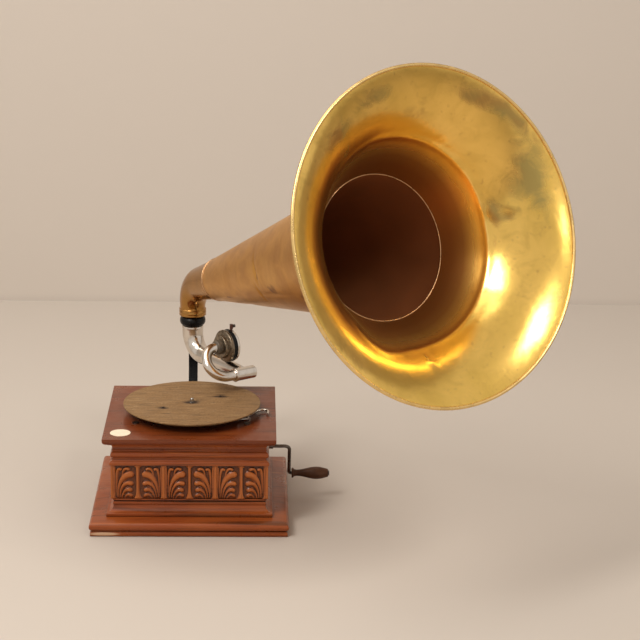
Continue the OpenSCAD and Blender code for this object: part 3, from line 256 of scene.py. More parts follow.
def bead_tree():
    """A round bead bent to a ring: a circle's curve swept with a small circle."""
    tree, given, result = new_tree("ring_bead", (
        ("Ring radius", "Float"), ("Bead radius", "Float"), ("Middle", "Vector"), ("Turn", "Rotation"),
        ("Steps round", "Int"), ("Material", "Material")))
    path = geometry(tree, "CurvePrimitiveCircle", {"Resolution": given["Steps round"], "Radius": given["Ring radius"]})
    section = geometry(tree, "CurvePrimitiveCircle", {"Resolution": BEAD_SIDES, "Radius": given["Bead radius"]})
    bead = geometry(tree, "CurveToMesh", {"Curve": path, "Profile Curve": section})
    placed = geometry(tree, "Transform", {"Geometry": bead, "Translation": given["Middle"], "Rotation": given["Turn"]})
    smooth = geometry(tree, "SetShadeSmooth", {"Geometry": placed})
    real = geometry(tree, "RealizeInstances", {"Geometry": smooth})
    dressed = geometry(tree, "SetMaterial", {"Geometry": real, "Material": given["Material"]})
    tree.links.new(dressed.outputs[0], result)
    return tree


def grown(name, tree, values, base=None):
    """A plain mesh object made by a tree from a base mesh, with the tree's inputs set from values."""
    seed = linked(name + "_seed", base or bpy.data.meshes.new(name + "_seed"))
    grow = seed.modifiers.new("Grow", "NODES")
    grow.node_group = tree
    for item in tree.interface.items_tree:
        if item.in_out == "INPUT" and item.name in values:
            grow[item.identifier] = values[item.name]
    depsgraph = bpy.context.evaluated_depsgraph_get()
    mesh = bpy.data.meshes.new_from_object(seed.evaluated_get(depsgraph), depsgraph=depsgraph)
    seed.modifiers.remove(grow)
    bpy.data.objects.remove(seed)
    mesh.name = name
    return linked(name, mesh)


# Materials

PREFIX = "gramo_"


class Nodes:
    """A material's node tree, built by short calls that each give back an output."""

    def __init__(self, name, colour, rough, metal=0.0):
        self.mat = bpy.data.materials.new(PREFIX + name)
        self.mat.use_nodes = True
        self.tree = self.mat.node_tree
        self.shader = self.tree.nodes["Principled BSDF"]
        self.shader.inputs["Base Color"].default_value = (*colour, 1)
        self.shader.inputs["Roughness"].default_value = rough
        self.shader.inputs["Metallic"].default_value = metal
        self.mat.diffuse_color = (*colour, 1)
        self.coords = self.add("TexCoord").outputs["Object"]

    def add(self, kind, inputs=None, **values):
        return plug(self.tree, "ShaderNode" + kind, inputs, **values)

    def scaled(self, scale, source=None):
        """Coordinates stretched by a scale along each axis."""
        return self.add("Mapping", {"Vector": source or self.coords, "Scale": scale}).outputs["Vector"]

    def noise(self, scale, detail=4.0, rough=0.5, vector=None, distort=0.0):
        return self.add("TexNoise", {"Vector": vector or self.coords, "Scale": scale, "Detail": detail,
                                     "Roughness": rough, "Distortion": distort}).outputs["Fac"]

    def ramp(self, value, stops):
        """A value turned into greys or colours by stops of place and grey or colour."""
        node = self.add("ValToRGB", {"Fac": value})
        ramp = node.color_ramp
        while len(ramp.elements) < len(stops):
            ramp.elements.new(0.5)
        for element, (place, colour) in zip(ramp.elements, stops):
            element.position = place
            grey = isinstance(colour, (int, float))
            element.color = (colour, colour, colour, 1) if grey else (*colour, 1)
        return node.outputs["Color"]

    def mix(self, factor, a, b, blend="MIX"):
        """Two colours mixed: sockets 0, 6 and 7 of the node are its factor and its two colours."""
        a, b = (v if isinstance(v, bpy.types.NodeSocket) else (*v, 1) for v in (a, b))
        return self.add("Mix", {0: factor, 6: a, 7: b}, data_type="RGBA", blend_type=blend).outputs[2]

    def times(self, a, b):
        return self.mix(1.0, a, b, "MULTIPLY")

    def maths(self, kind, *values):
        return self.add("Math", dict(enumerate(values)), operation=kind).outputs[0]

    def frayed(self, value, noise, amount):
        """A value shifted up and down by a noise that swings about a half."""
        return self.maths("ADD", value, self.maths("MULTIPLY", self.maths("SUBTRACT", noise, 0.5), amount))

    def bump(self, height, strength, distance, normal=None):
        inputs = {"Strength": strength, "Distance": distance, "Height": height}
        return self.add("Bump", inputs | ({"Normal": normal} if normal else {})).outputs["Normal"]

    def attribute(self, name):
        return self.add("Attribute", attribute_name=name).outputs["Fac"]

    def split(self):
        """The x, y and z of the object's own coordinates."""
        return self.add("SeparateXYZ", {0: self.coords}).outputs

    def out(self, **sockets):
        """Gives the shader its inputs, named with _ for a space, and returns the material."""
        for name, value in sockets.items():
            socket = self.shader.inputs[name.replace("_", " ")]
            if isinstance(value, (int, float)):
                socket.default_value = value
            else:
                self.tree.links.new(value, socket)
        return self.mat


FIGURE = (60.0, 3.2)  # waves a metre of the oak's figure, across and along its grain
PORES = (420.0, 14.0)  # the same of its pores
HOLLOW_REACH = 0.010  # how far round a point the painted shade in hollows is gathered from


def grained(n, along, scales):
    """Coordinates for a noise that is drawn out along one axis."""
    across, lengthways = scales
    return n.scaled([lengthways if axis == along else across for axis in range(3)])


def rubbed_spot(n, centre, half, noise):
    """1 inside a ragged bare spot of this middle and half size, 0 outside it."""
    away = n.add("VectorMath", {0: n.coords, 1: centre}, operation="SUBTRACT")
    ratio = n.add("VectorMath", {0: away, 1: half}, operation="DIVIDE")
    size = n.add("VectorMath", {0: ratio}, operation="LENGTH").outputs["Value"]
    return n.ramp(n.maths("SUBTRACT", n.maths("ADD", size, noise), 0.8), [(0.3, 0.9), (0.6, 0.0)])


def oak_material(name, along, look, worn=0.5, dark=0.0, carved=False, rubbed=None):
    """Varnished oak with its grain along one axis, painted shade in its hollows and creases, and on carved wood a
    painted highlight on the tops of the relief. rubbed is the middle and half size of a bare worn spot.
    """
    n = Nodes(name, look.oak, 0.34)
    broad = n.noise(1.0, 3, 0.55, grained(n, along, FIGURE), 1.2)
    pores = n.noise(1.0, 2, 0.6, grained(n, along, PORES))
    cloud = n.noise(9.0, 3, 0.5)
    base = n.ramp(broad, [(0.28, look.oak_dark), (0.46, look.oak), (0.60, look.oak), (0.78, look.oak_gold)])
    colour = n.mix(n.ramp(cloud, [(0.35, 0.0), (0.7, worn)]), base, look.oak_gold)
    colour = n.times(colour, n.ramp(pores, [(0.30, 0.72), (0.48, 1.0)]))
    # painted shade: concave creases, found by pointiness, are darkened
    edge = n.add("NewGeometry").outputs["Pointiness"]
    colour = n.times(colour, n.ramp(edge, [(0.44, 0.22), (0.495, 1.0)]))
    # painted shade: ambient occlusion darkens the oak in its hollows and corners
    hollow_shade = n.add("AmbientOcclusion", {"Distance": HOLLOW_REACH}, samples=8).outputs["AO"]
    colour = n.times(colour, n.ramp(hollow_shade, [(0.30, 0.35), (0.80, 1.0)]))
    if carved:
        # painted highlight and painted shade: the relief's high parts are made paler and golden, its low ground darker
        high = n.attribute("relief")
        colour = n.mix(n.ramp(high, [(0.35, 0.0), (0.85, 0.9)]), colour, look.oak_gold)
        colour = n.times(colour, n.ramp(high, [(0.08, 0.34), (0.40, 0.85), (0.8, 1.0)]))
    if dark:
        colour = n.mix(dark, colour, (0.060, 0.012, 0.004))
    if rubbed:
        colour = n.mix(rubbed_spot(n, *rubbed, cloud), colour, (0.62, 0.40, 0.24))
    rough = n.ramp(n.noise(26.0, 4, 0.6), [(0.3, 0.24), (0.7, 0.44)])
    normal = n.bump(pores, 0.08, 0.0006)
    normal = n.bump(broad, 0.08, 0.0012, normal)
    n.out(Coat_Weight=0.15, Coat_Roughness=0.12, Specular_IOR_Level=0.3)
    return n.out(Base_Color=colour, Roughness=rough, Normal=normal)


def bell_material(name, look):
    """The bell's inside: old gold, stained in places, with painted shade between its fold and the seam and painted
    highlights along the fold.
    """
    n = Nodes(name, look.brass, 0.2, 1.0)
    fold, stain = n.attribute("fold"), n.attribute("stain")
    broad = n.noise(6.0, 4, 0.6, None, 0.6)
    ragged = n.noise(22.0, 5, 0.62, None, 1.2)
    specks = n.noise(95.0, 3, 0.6)
    golden = n.mix(n.ramp(broad, [(0.35, 0.0), (0.65, 1.0)]), look.brass, (0.74, 0.475, 0.105))
    golden = n.mix(n.ramp(ragged, [(0.50, 0.0), (0.70, 0.45)]), golden, (0.60, 0.38, 0.085))
    golden = n.mix(n.ramp(specks, [(0.62, 0.0), (0.74, 0.4)]), golden, (0.40, 0.23, 0.07))
    stained = n.ramp(n.frayed(stain, ragged, 1.3), [(0.30, 0.0), (0.85, 0.9)])
    tint = n.mix(n.ramp(broad, [(0.45, 0.0), (0.55, 1.0)]), (0.42, 0.235, 0.070), (0.37, 0.275, 0.090))
    colour = n.mix(stained, golden, tint)
    away = n.frayed(fold, ragged, 0.006)
    # painted shade: the bell darkens from its fold towards the throat seam
    deep = n.ramp(n.maths("DIVIDE", away, -0.06), [(0.05, 0.0), (0.35, 0.45), (0.65, 0.9), (1.0, 1.0)])
    colour = n.mix(deep, colour, (0.30, 0.115, 0.028))
    # painted highlights: a pale orange band just past the fold and a thin bright line along it
    fold_highlight = n.ramp(n.maths("DIVIDE", away, -0.022), [(0.0, 0.0), (0.04, 0.55), (1.0, 0.0)])
    colour = n.mix(fold_highlight, colour, (0.90, 0.46, 0.10))
    line = n.ramp(n.maths("DIVIDE", n.maths("ABSOLUTE", away), 0.0022), [(0.25, 0.8), (1.0, 0.0)])
    colour = n.mix(line, colour, (1.0, 0.66, 0.22))
    rough = n.mix(stained, n.ramp(broad, [(0.3, 0.15), (0.7, 0.24)]), (0.38, 0.38, 0.38))
    rough = n.mix(deep, rough, (0.36, 0.36, 0.36))
    metal = n.ramp(deep, [(0.0, 0.97), (1.0, 0.75)])
    normal = n.bump(broad, 0.22, 0.004)
    normal = n.bump(ragged, 0.16, 0.0012, normal)
    return n.out(Base_Color=colour, Roughness=rough, Metallic=metal, Normal=normal)


def brass_material(name, look):
    """Brass gone dull and brown, with worn brighter patches and faint streaks along the horn."""
    n = Nodes(name, look.brass_dull, 0.42, 1.0)
    place = n.add("CombineXYZ", {0: n.attribute("round"), 1: n.attribute("depth")}).outputs[0]
    streaks = n.noise(1.0, 4, 0.6, n.scaled((5.0, 16.0, 1.0), place), 0.5)
    patches = n.noise(7.0, 5, 0.65)
    ragged = n.noise(40.0, 5, 0.65, None, 0.6)
    colour = n.mix(n.ramp(streaks, [(0.35, 0.0), (0.68, 1.0)]), look.brass_dull, (0.50, 0.245, 0.064))
    colour = n.mix(n.ramp(patches, [(0.52, 0.0), (0.72, 0.7)]), colour, (0.74, 0.44, 0.14))
    stained = n.ramp(n.frayed(n.attribute("stain"), ragged, 1.5), [(0.45, 0.0), (0.8, 0.8)])
    colour = n.mix(stained, colour, (0.15, 0.05, 0.022))
    rough = n.ramp(patches, [(0.3, 0.32), (0.7, 0.46)])
    return n.out(Base_Color=colour, Roughness=rough, Normal=n.bump(streaks, 0.10, 0.002))


def nickel_material(name, look):
    """Old nickel plate, clouded and finely scratched."""
    rough = 0.14
    n = Nodes(name, look.nickel, rough, 1.0)
    cloud = n.noise(42.0, 5, 0.6)
    fine = n.noise(420.0, 3, 0.6)
    colour = n.mix(n.ramp(cloud, [(0.50, 0.0), (0.72, 0.45)]), look.nickel, (0.36, 0.30, 0.23))
    rough_c = n.ramp(cloud, [(0.35, rough), (0.7, rough + 0.10)])
    return n.out(Base_Color=colour, Roughness=rough_c, Normal=n.bump(fine, 0.015, 0.0003))


def plain_material(name, colour, rough, metal, mottle=0.25, scale=60.0, bump=0.1, gloss=0.5):
    """A surface with mottled colour and roughness."""
    n = Nodes(name, colour, rough, metal)
    cloud = n.noise(scale, 5, 0.6)
    fine = n.noise(scale * 9, 3, 0.6)
    low = tuple(c * (1 - mottle) for c in colour)
    high = tuple(min(1.0, c * (1 + mottle)) for c in colour)
    shade = n.ramp(cloud, [(0.3, low), (0.7, high)])
    rough_c = n.ramp(cloud, [(0.3, max(0.02, rough - 0.08)), (0.7, min(1.0, rough + 0.10))])
    n.out(Specular_IOR_Level=gloss)
    return n.out(Base_Color=shade, Roughness=rough_c, Normal=n.bump(fine, bump, 0.0004))


STAIN_STRETCH = 1.25  # how much wider than deep the turntable's stains are


def table_material(name, look, stains):
    """The turntable's worn top: olive brown, streaked across, stained round its spindle and rivets."""
    n = Nodes(name, look.table, 0.62)
    x, y, _ = n.split()
    streak = n.noise(1.0, 5, 0.65, n.scaled((26.0, 210.0, 60.0)), 0.7)
    cloud = n.noise(30.0, 4, 0.6)
    speck = n.noise(260.0, 2, 0.5)
    colour = n.ramp(streak, [(0.30, (0.115, 0.062, 0.026)), (0.45, look.table), (0.62, (0.30, 0.175, 0.075)),
                             (0.74, (0.50, 0.34, 0.17))])
    colour = n.mix(n.ramp(cloud, [(0.4, 0.0), (0.75, 0.5)]), colour, (0.29, 0.165, 0.070))
    colour = n.mix(n.ramp(speck, [(0.60, 0.0), (0.70, 0.35)]), colour, (0.44, 0.31, 0.17))
    colour = n.mix(n.ramp(speck, [(0.30, 0.5), (0.40, 0.0)]), colour, (0.10, 0.052, 0.024))
    blotch = n.noise(75.0, 4, 0.7, None, 1.5)
    colour = n.mix(n.ramp(blotch, [(0.58, 0.0), (0.72, 0.6)]), colour, (0.13, 0.080, 0.040))
    for px, py, wide in stains:
        dx = n.maths("DIVIDE", n.maths("SUBTRACT", x, px), wide * STAIN_STRETCH)
        dy = n.maths("DIVIDE", n.maths("SUBTRACT", y, py), wide)
        away = n.maths("SQRT", n.maths("ADD", n.maths("MULTIPLY", dx, dx), n.maths("MULTIPLY", dy, dy)))
        stain = n.ramp(n.frayed(away, streak, 2.2), [(0.45, 0.92), (1.0, 0.0)])
        colour = n.mix(stain, colour, (0.030, 0.014, 0.008))
    normal = n.bump(streak, 0.5, 0.0006)
    normal = n.bump(speck, 0.2, 0.0003, normal)
    n.out(Specular_IOR_Level=0.25)
    return n.out(Base_Color=colour, Roughness=n.ramp(cloud, [(0.3, 0.5), (0.7, 0.75)]), Normal=normal)


def material(name):
    """A finished material by its short name."""
    return bpy.data.materials[PREFIX + name]


# The horn

def horn_frame(h):
    """Swivel's axis, outward and side directions, the horn's own axis, and the point on it where the cone starts."""
    out = Vector((math.sin(h.turn), -math.cos(h.turn), 0))
    axis = out * math.cos(h.rise) + Vector((0, 0, math.sin(h.rise)))
    side = Vector((math.cos(h.turn), math.sin(h.turn), 0))
    pivot = Vector((h.pivot_x, h.pivot_y, 0))
    turn = math.pi / 2 - h.rise
    top = h.ring_z + h.elbow_rise
    end = pivot + out * (h.elbow_bend * (1 - math.cos(turn))) + Vector((0, 0, top + h.elbow_bend * math.sin(turn)))
    return pivot, out, side, axis, end + axis * h.elbow_l


def ring_bead(name, h, depth, radius, bead, finish):
    """A round bead on the horn at a depth along its axis."""
    *_, axis, start = horn_frame(h)
    tree = bpy.data.node_groups.get("ring_bead") or bead_tree()
    turn = axis.to_track_quat("Z", "Y").to_euler()
    obj = grown(name, tree, {"Ring radius": radius, "Bead radius": bead, "Middle": start + axis * depth, "Turn": turn,
                             "Steps round": BEAD_STEPS, "Material": finish})
    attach(obj, "horn")
    return obj


THROAT_PULL, THROAT_SLOPE = 0.38, math.radians(27)  # the bell curve's handles: length in bell depths, and angle
MOUTH_PULL, MOUTH_SLOPE = 0.56, math.radians(74)


def bell_curve(h, count):
    """Distance and radius along the bell's outer curve."""
    throat, mouth = h.bell_l * THROAT_PULL, h.bell_l * MOUTH_PULL
    points = (
        (0.0, h.bell_r),
        (throat * math.cos(THROAT_SLOPE), h.bell_r + throat * math.sin(THROAT_SLOPE)),
        (h.bell_l - mouth * math.cos(MOUTH_SLOPE), h.mouth_r - mouth * math.sin(MOUTH_SLOPE)),
        (h.bell_l, h.mouth_r),
    )
    return [bezier(i / count, points).tolist() for i in range(count + 1)]


DENTS = (
    # depth along the horn, angle in degrees, half length, half width in degrees, height in metres
    (0.632, 9, 0.008, 4, -0.0018), (0.648, 5, 0.007, 3, 0.0016), (0.660, 9, 0.007, 3, -0.0014),
    (0.672, 3, 0.008, 3, 0.0008),
    (0.690, 18, 0.018, 14, -0.0014), (0.660, 150, 0.022, 12, -0.0010), (0.670, 310, 0.020, 10, 0.0010),
    (0.662, 264, 0.010, 2, -0.0012), (0.640, 100, 0.024, 11, 0.0010), (0.590, 250, 0.030, 16, -0.0010),
    (0.260, 180, 0.0045, 16, -0.0022), (0.246, 212, 0.0045, 12, -0.0022), (0.300, 213, 0.045, 3.2, -0.0016),
    (0.290, 190, 0.035, 16, -0.0012), (0.420, 200, 0.040, 12, -0.0010), (0.120, 260, 0.020, 20, -0.0012),
    (0.130, 190, 0.030, 14, -0.0010),
)

STAINS = (
    # depth along the horn, angle in degrees, half length in metres, half width in degrees, strength
    (0.694, 106, 0.010, 10, 0.75), (0.688, 130, 0.011, 9, 0.85), (0.696, 60, 0.007, 12, 0.9),
    (0.690, 19, 0.013, 17, 1.0), (0.668, 17, 0.016, 8, 0.7), (0.634, 8, 0.010, 7, 1.1), (0.652, 5, 0.010, 3.0, 0.9),
    (0.628, 352, 0.005, 5, 0.8), (0.655, 263, 0.009, 1.0, 0.9), (0.703, 45, 0.005, 16, 0.7),
    (0.700, 220, 0.006, 9, 0.55), (0.702, 330, 0.005, 12, 0.4), (0.665, 85, 0.020, 10, 0.45),
    (0.650, 130, 0.020, 14, 0.5), (0.310, 205, 0.020, 9, 0.8), (0.090, 223, 0.022, 3, 0.7),
    (0.262, 182, 0.004, 14, 0.8), (0.425, 215, 0.035, 12, 0.6),
)

FOLD = (
    # angle in degrees, depth along the horn of the crease where the flare begins
    (0, 0.618), (12, 0.619), (28, 0.622), (58, 0.625), (110, 0.632), (160, 0.636), (193, 0.640), (203, 0.650),
    (216, 0.650), (228, 0.662), (238, 0.663), (256, 0.639), (271, 0.629), (287, 0.625), (320, 0.620), (360, 0.618),
)


def spread(table, depth, angle):
    """Sum of the table's soft spots at a place on the horn."""
    total = 0.0
    for t, centre, half_l, half_a, high in table:
        da = (angle - centre + 180) % 360 - 180
        total += high * math.exp(-((depth - t) / half_l) ** 2 - (da / half_a) ** 2)
    return total


def fold_at(angle):
    """Depth of the crease at an angle."""
    return float(np.interp(angle, [a for a, t in FOLD], [t for a, t in FOLD]))


WAVES = (
    # share of the height, waves round the horn, shift by depth in radians a metre
    (0.35, 5, 9), (0.25, 9, -21), (0.2, 14, 40),
)
SMOOTH_START, SMOOTH_END = (0.03, 0.1), (0.700, 0.02)  # depth where the dents fade out, and over what length
CREASE_WIDTH = 0.006


def dent(h, depth, angle):
    """Height of the dents, the crease and the waves at a place on the horn."""
    a = math.radians(angle)
    wave = sum(share * math.sin(count * a + shift * depth) for share, count, shift in WAVES)
    fade = min(1.0, max(0.0, (depth - SMOOTH_START[0]) / SMOOTH_START[1]))
    fade *= min(1.0, max(0.0, (SMOOTH_END[0] - depth) / SMOOTH_END[1]))
    crease = h.crease * math.exp(-((depth - fold_at(angle)) / CREASE_WIDTH) ** 2)
    return (spread(DENTS, depth, angle) + crease + h.dent * 0.4 * wave) * fade


def horn_skin(name, h, profile, first, n, inside, outside):
    """A sheet metal skin: inner and outer surface of one profile, with dents. first is its depth along the horn."""
    _, _, side, axis, start = horn_frame(h)
    u, w = frame_of(axis, side)
    count = len(profile)
    verts, marks = [], {"depth": [], "round": [], "fold": [], "stain": []}
    for wall in (0.0, -h.wall):
        for i, (t, r) in enumerate(profile):
            a, b = profile[max(i - 1, 0)], profile[min(i + 1, count - 1)]
            slope = Vector((b[0] - a[0], b[1] - a[1])).normalized()
            for k in range(n):
                angle = 360 * k / n
                high = dent(h, first + t, angle) + wall
                tt, rr = first + t - slope[1] * high, r + slope[0] * high
                c, s = math.cos(math.radians(angle)), math.sin(math.radians(angle))
                verts.append(start + axis * tt + rr * (c * u + s * w))
                marks["depth"].append((first + t) / (h.cone_l + h.bell_l))
                marks["round"].append(abs(k / n * 2 - 1))
                marks["fold"].append(first + t - fold_at(angle))
                marks["stain"].append(spread(STAINS, first + t, angle))
    faces = grid_faces(count, n) + grid_faces(count, n, offset=count * n, flip=True)
    for row in (0, count - 1):
        for k in range(n):
            a, b = row * n + k, row * n + (k + 1) % n
            quad = (a, b, b + count * n, a + count * n)
            faces.append(quad if row else quad[::-1])
    obj = mesh_piece(name, verts, faces, material(inside), "horn")
    obj.data.materials.append(material(outside))
    shown = (count - 1) * n
    index = [1] * shown + [0] * shown + [1] * (2 * n)
    obj.data.polygons.foreach_set("material_index", index[:len(obj.data.polygons)])
    for key, values in marks.items():
        obj.data.attributes.new(key, "FLOAT", "POINT").data.foreach_set("value", values)
    return obj


BELL_ROWS, BELL_STEPS = 90, 270  # the skins' mesh lines along the horn and round it
CONE_ROWS, CONE_STEPS = 190, 200
SLEEVE_STEPS, ELBOW_STEPS, ARM_STEPS = 160, 128, 96
BEADS = (
    # name, at the cone's far end or start, depth from there, radius beyond the cone's, bead radius, in metres
    ("throat_seam", True, 0.0, -0.0006, 0.0011),
    ("cone_bead", False, -0.0035, -0.0006, 0.0012),
    ("cone_lip", False, 0.0005, 0.0001, 0.0007),
)
SLEEVE = (
    # radius beyond the cone's small end and depth along the horn, in metres
    (-0.0008, -0.005), (-0.0002, -0.0049), (0.0, -0.0035), (0.0, 0.001),
)


class GRAMO_OT_horn_bell(bpy.types.Operator):
    """Add the flared bell with its rolled rim and dents"""
    bl_idname = "gramo.horn_bell"
    bl_label = "Horn bell"

    def execute(self, context):
        h = context.scene.horn_sizes
        skin = horn_skin("horn_bell_skin", h, bell_curve(h, BELL_ROWS), h.cone_l, BELL_STEPS,
                         "bell_inside", "brass_outside")
        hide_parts("horn_bell")
        ring_bead("horn_rim", h, h.cone_l + h.bell_l, h.mouth_r - h.rim_r, h.rim_r, material("brass_rim"))
        return {"FINISHED"}


class GRAMO_OT_horn_cone(bpy.types.Operator):
    """Add the conical horn body with its seam, sleeve and creases"""
    bl_idname = "gramo.horn_cone"
    bl_label = "Horn cone"

    def execute(self, context):
        h = context.scene.horn_sizes
        profile = [(h.cone_l * i / CONE_ROWS, h.cone_r + (h.bell_r - h.cone_r) * i / CONE_ROWS)
                   for i in range(CONE_ROWS + 1)]
        skin = horn_skin("horn_cone_skin", h, profile, 0.0, CONE_STEPS, "cone_inside", "brass_outside")
        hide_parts("horn_cone")
        for name, far, depth, beyond, bead in BEADS:
            end, radius = (h.cone_l, h.bell_r) if far else (0.0, h.cone_r)
            ring_bead(name, h, end + depth, radius + beyond, bead, material("seam_copper"))
        _, _, side, axis, start = horn_frame(h)
        points = turned([(h.cone_r + more, t) for more, t in SLEEVE], SLEEVE_STEPS, start, axis, side)
        faces = grid_faces(len(SLEEVE), SLEEVE_STEPS)
        mesh_piece("cone_sleeve", points, faces, material("brass_elbow"), "horn")
        return {"FINISHED"}


RING_HALF = 0.01055  # half the height of the bracket's ring, with its play
ELBOW_WALL = 0.0012
BEND_ROWS, TAPER_ROWS, LEVEL_ROWS = 32, 12, 20  # mesh lines along a bend, the elbow's taper and the level arm
COLLAR = (
    # height above the collar's foot and distance outside the elbow's tube, in metres
    (0.0, -0.0010), (0.0004, 0.0010), (0.0014, 0.0017), (0.0030, 0.0017), (0.0036, 0.0012), (0.0044, 0.0016),
    (0.0108, 0.0016), (0.0114, 0.0010), (0.0122, 0.0016), (0.0134, 0.0018), (0.0140, 0.0010), (0.0143, 0.0001),
    (0.0150, 0.0), (0.0172, 0.0),
)


def bent_path(foot, out, rise, bend, turn, straight, rows):
    """A path that bends outwards from foot and runs on straight, and how far each point is along it.

    rise is 1 for a path that starts upwards and -1 for one that starts downwards.
    """
    points, runs = [], []
    for i in range(BEND_ROWS + 1):
        a = turn * i / BEND_ROWS
        points.append(foot + out * (bend * (1 - math.cos(a))) + Vector((0, 0, rise * bend * math.sin(a))))
        runs.append(bend * a)
    ahead = out * math.sin(turn) + Vector((0, 0, rise * math.cos(turn)))
    for i in range(1, rows + 1):
        run = straight * i / rows
        points.append(points[BEND_ROWS] + ahead * run)
        runs.append(bend * turn + run)
    return points, runs


class GRAMO_OT_horn_elbow(bpy.types.Operator):
    """Add the smooth tapering elbow with its lower collar"""
    bl_idname = "gramo.horn_elbow"
    bl_label = "Horn elbow"

    def execute(self, context):
        h = context.scene.horn_sizes
        pivot, out, side, _, _ = horn_frame(h)
        foot = pivot + Vector((0, 0, h.ring_z + h.elbow_rise))
        way, runs = bent_path(foot, out, 1, h.elbow_bend, math.pi / 2 - h.rise, h.elbow_l, TAPER_ROWS)
        growth = (h.cone_r - h.wall - h.elbow_r) / runs[-1]
        points = [pivot + Vector((0, 0, h.ring_z + RING_HALF + z)) for z, more in COLLAR] + way[1:]
        radii = [h.elbow_r + more for z, more in COLLAR] + [h.elbow_r + growth * run for run in runs[1:]]
        verts, faces = tube(points, radii, ELBOW_WALL, side, ELBOW_STEPS, True)
        skin = mesh_piece("horn_elbow_skin", verts, faces, material("brass_elbow"), "horn")
        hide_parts("horn_elbow")
        return {"FINISHED"}


# The tone arm

ARM_LIP = (
    # distance below the ring and beyond the start radius of the arm's rolled upper edge, in metres
    (0.0, -0.0006), (0.0012, 0.0005), (0.004, 0.0005), (0.0052, 0.0001), (0.0058, 0.0),
)
ARM_OVERLAP = 0.006  # how far the arm ends before the crosspiece's middle


class GRAMO_OT_tone_arm(bpy.types.Operator):
    """Add the smooth tapering tone arm below the ring"""
    bl_idname = "gramo.tone_arm"
    bl_label = "Tone arm"

    def execute(self, context):
        h, s = context.scene.horn_sizes, context.scene.arm_sizes
        pivot = Vector((h.pivot_x, h.pivot_y, 0))
        out = Vector((math.sin(s.turn), -math.cos(s.turn), 0))
        side = Vector((math.cos(s.turn), math.sin(s.turn), 0))
        foot = pivot + Vector((0, 0, s.level + s.bend))
        level = s.reach - ARM_OVERLAP - s.bend
        way, runs = bent_path(foot, out, -1, s.bend, math.pi / 2, level, LEVEL_ROWS)
        growth = (s.end_r - s.start_r) / (runs[-1] + ARM_OVERLAP)
        points = [pivot + Vector((0, 0, h.ring_z - RING_HALF - down)) for down, more in ARM_LIP] + way
        radii = [s.start_r + more for down, more in ARM_LIP] + [s.start_r + growth * run for run in runs]
        verts, faces = tube(points, radii, s.wall, side, ARM_STEPS, False)
        skin = mesh_piece("tone_arm_skin", verts, faces, material("nickel"), "tone_arm")
        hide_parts("tone_arm")
        return {"FINISHED"}


# The carved frieze

LOBES = (
    # four points of a curve from tail to bulb in millimetres, half widths at tail and bulb, height
    (((25.0, 0.5), (22.5, 7.5), (17.0, 10.5), (12.6, 7.0)), 1.4, 3.4, 0.62),
    (((29.5, 1.0), (28.0, 13.0), (21.0, 21.0), (13.6, 17.6)), 1.5, 4.2, 0.80),
    (((32.5, 3.0), (32.0, 22.0), (24.0, 34.0), (12.0, 30.0)), 1.6, 4.6, 0.95),
    (((36.0, 4.0), (36.0, 28.0), (27.0, 47.0), (13.0, 47.5)), 1.8, 6.6, 1.0),
    (((28.0, 38.0), (28.0, 52.0), (24.5, 62.0), (16.5, 57.5)), 1.4, 3.2, 0.95),
    (((38.4, 6.0), (37.6, 36.0), (38.5, 63.0), (30.5, 57.0)), 1.5, 3.0, 0.9),
    (((41.6, 2.0), (41.0, 22.0), (40.6, 44.0), (41.4, 60.0)), 1.1, 1.7, 0.75),
    (((16.0, 25.5), (21.0, 24.0), (24.5, 17.0), (26.0, 8.0)), 1.3, 0.7, 0.5),
    (((17.0, 39.0), (24.0, 37.0), (29.0, 28.0), (31.0, 14.0)), 1.5, 0.8, 0.55),
)
DRAWN_WIDTH = 92.0  # width in millimetres that the motif is drawn in
BULBS = 60  # steps along a lobe


def leaves(x, y):
    """Relief of the motif's lobes, each a row of round bulbs along a curve."""
    relief = np.zeros_like(x)
    for curve, thin, thick, top in LOBES:
        for i in range(BULBS + 1):
            t = i / BULBS
            p = bezier(t, curve)
            bulge = t * t * (3 - 2 * t)
            half = (thin + (thick - thin) * bulge) * (0.55 + 0.45 * min(1.0, t * 5))
            d2 = ((x - p[0]) ** 2 + (y - p[1]) ** 2) / half ** 2
            lift = top * (0.55 + 0.45 * bulge)
            relief = np.maximum(relief, lift * np.sqrt(np.clip(1 - d2, 0, 1)))
    return relief


def carving(x, y, high):
    """Height of the relief from 0 to 1. x is the distance from the nearest motif's stem, y the height, both in mm."""
    foot = 2.6 + 7.0 * np.exp(-y / 6.5) + 1.6 * np.exp(-(high - y) / 9.0)
    stem = 0.92 * np.sqrt(np.clip(1 - (x / foot) ** 2, 0, 1)) * (1 - 0.12 * np.exp(-(x / 0.8) ** 2))
    cap = 0.98 * np.sqrt(np.clip(1 - (x / 7.2) ** 2 - ((y - high + 2.6) / 2.3) ** 2, 0, 1))
    away = np.abs(x - DRAWN_WIDTH / 2)
    wide = 4.3 + 3.4 * np.exp(-y / 4.0) + 2.6 * np.exp(-(high - y) / 4.5)
    column = 0.88 * np.sqrt(np.clip(1 - (away / wide) ** 2, 0, 1)) ** 0.7
    column *= 1 - 0.25 * np.exp(-((away - 2.6) / 0.7) ** 2)
    ground = 0.10 + 0.05 * np.sin(x * 0.9) * np.sin(y * 0.35)
    return np.maximum.reduce([leaves(x, y), stem, cap, column, ground])


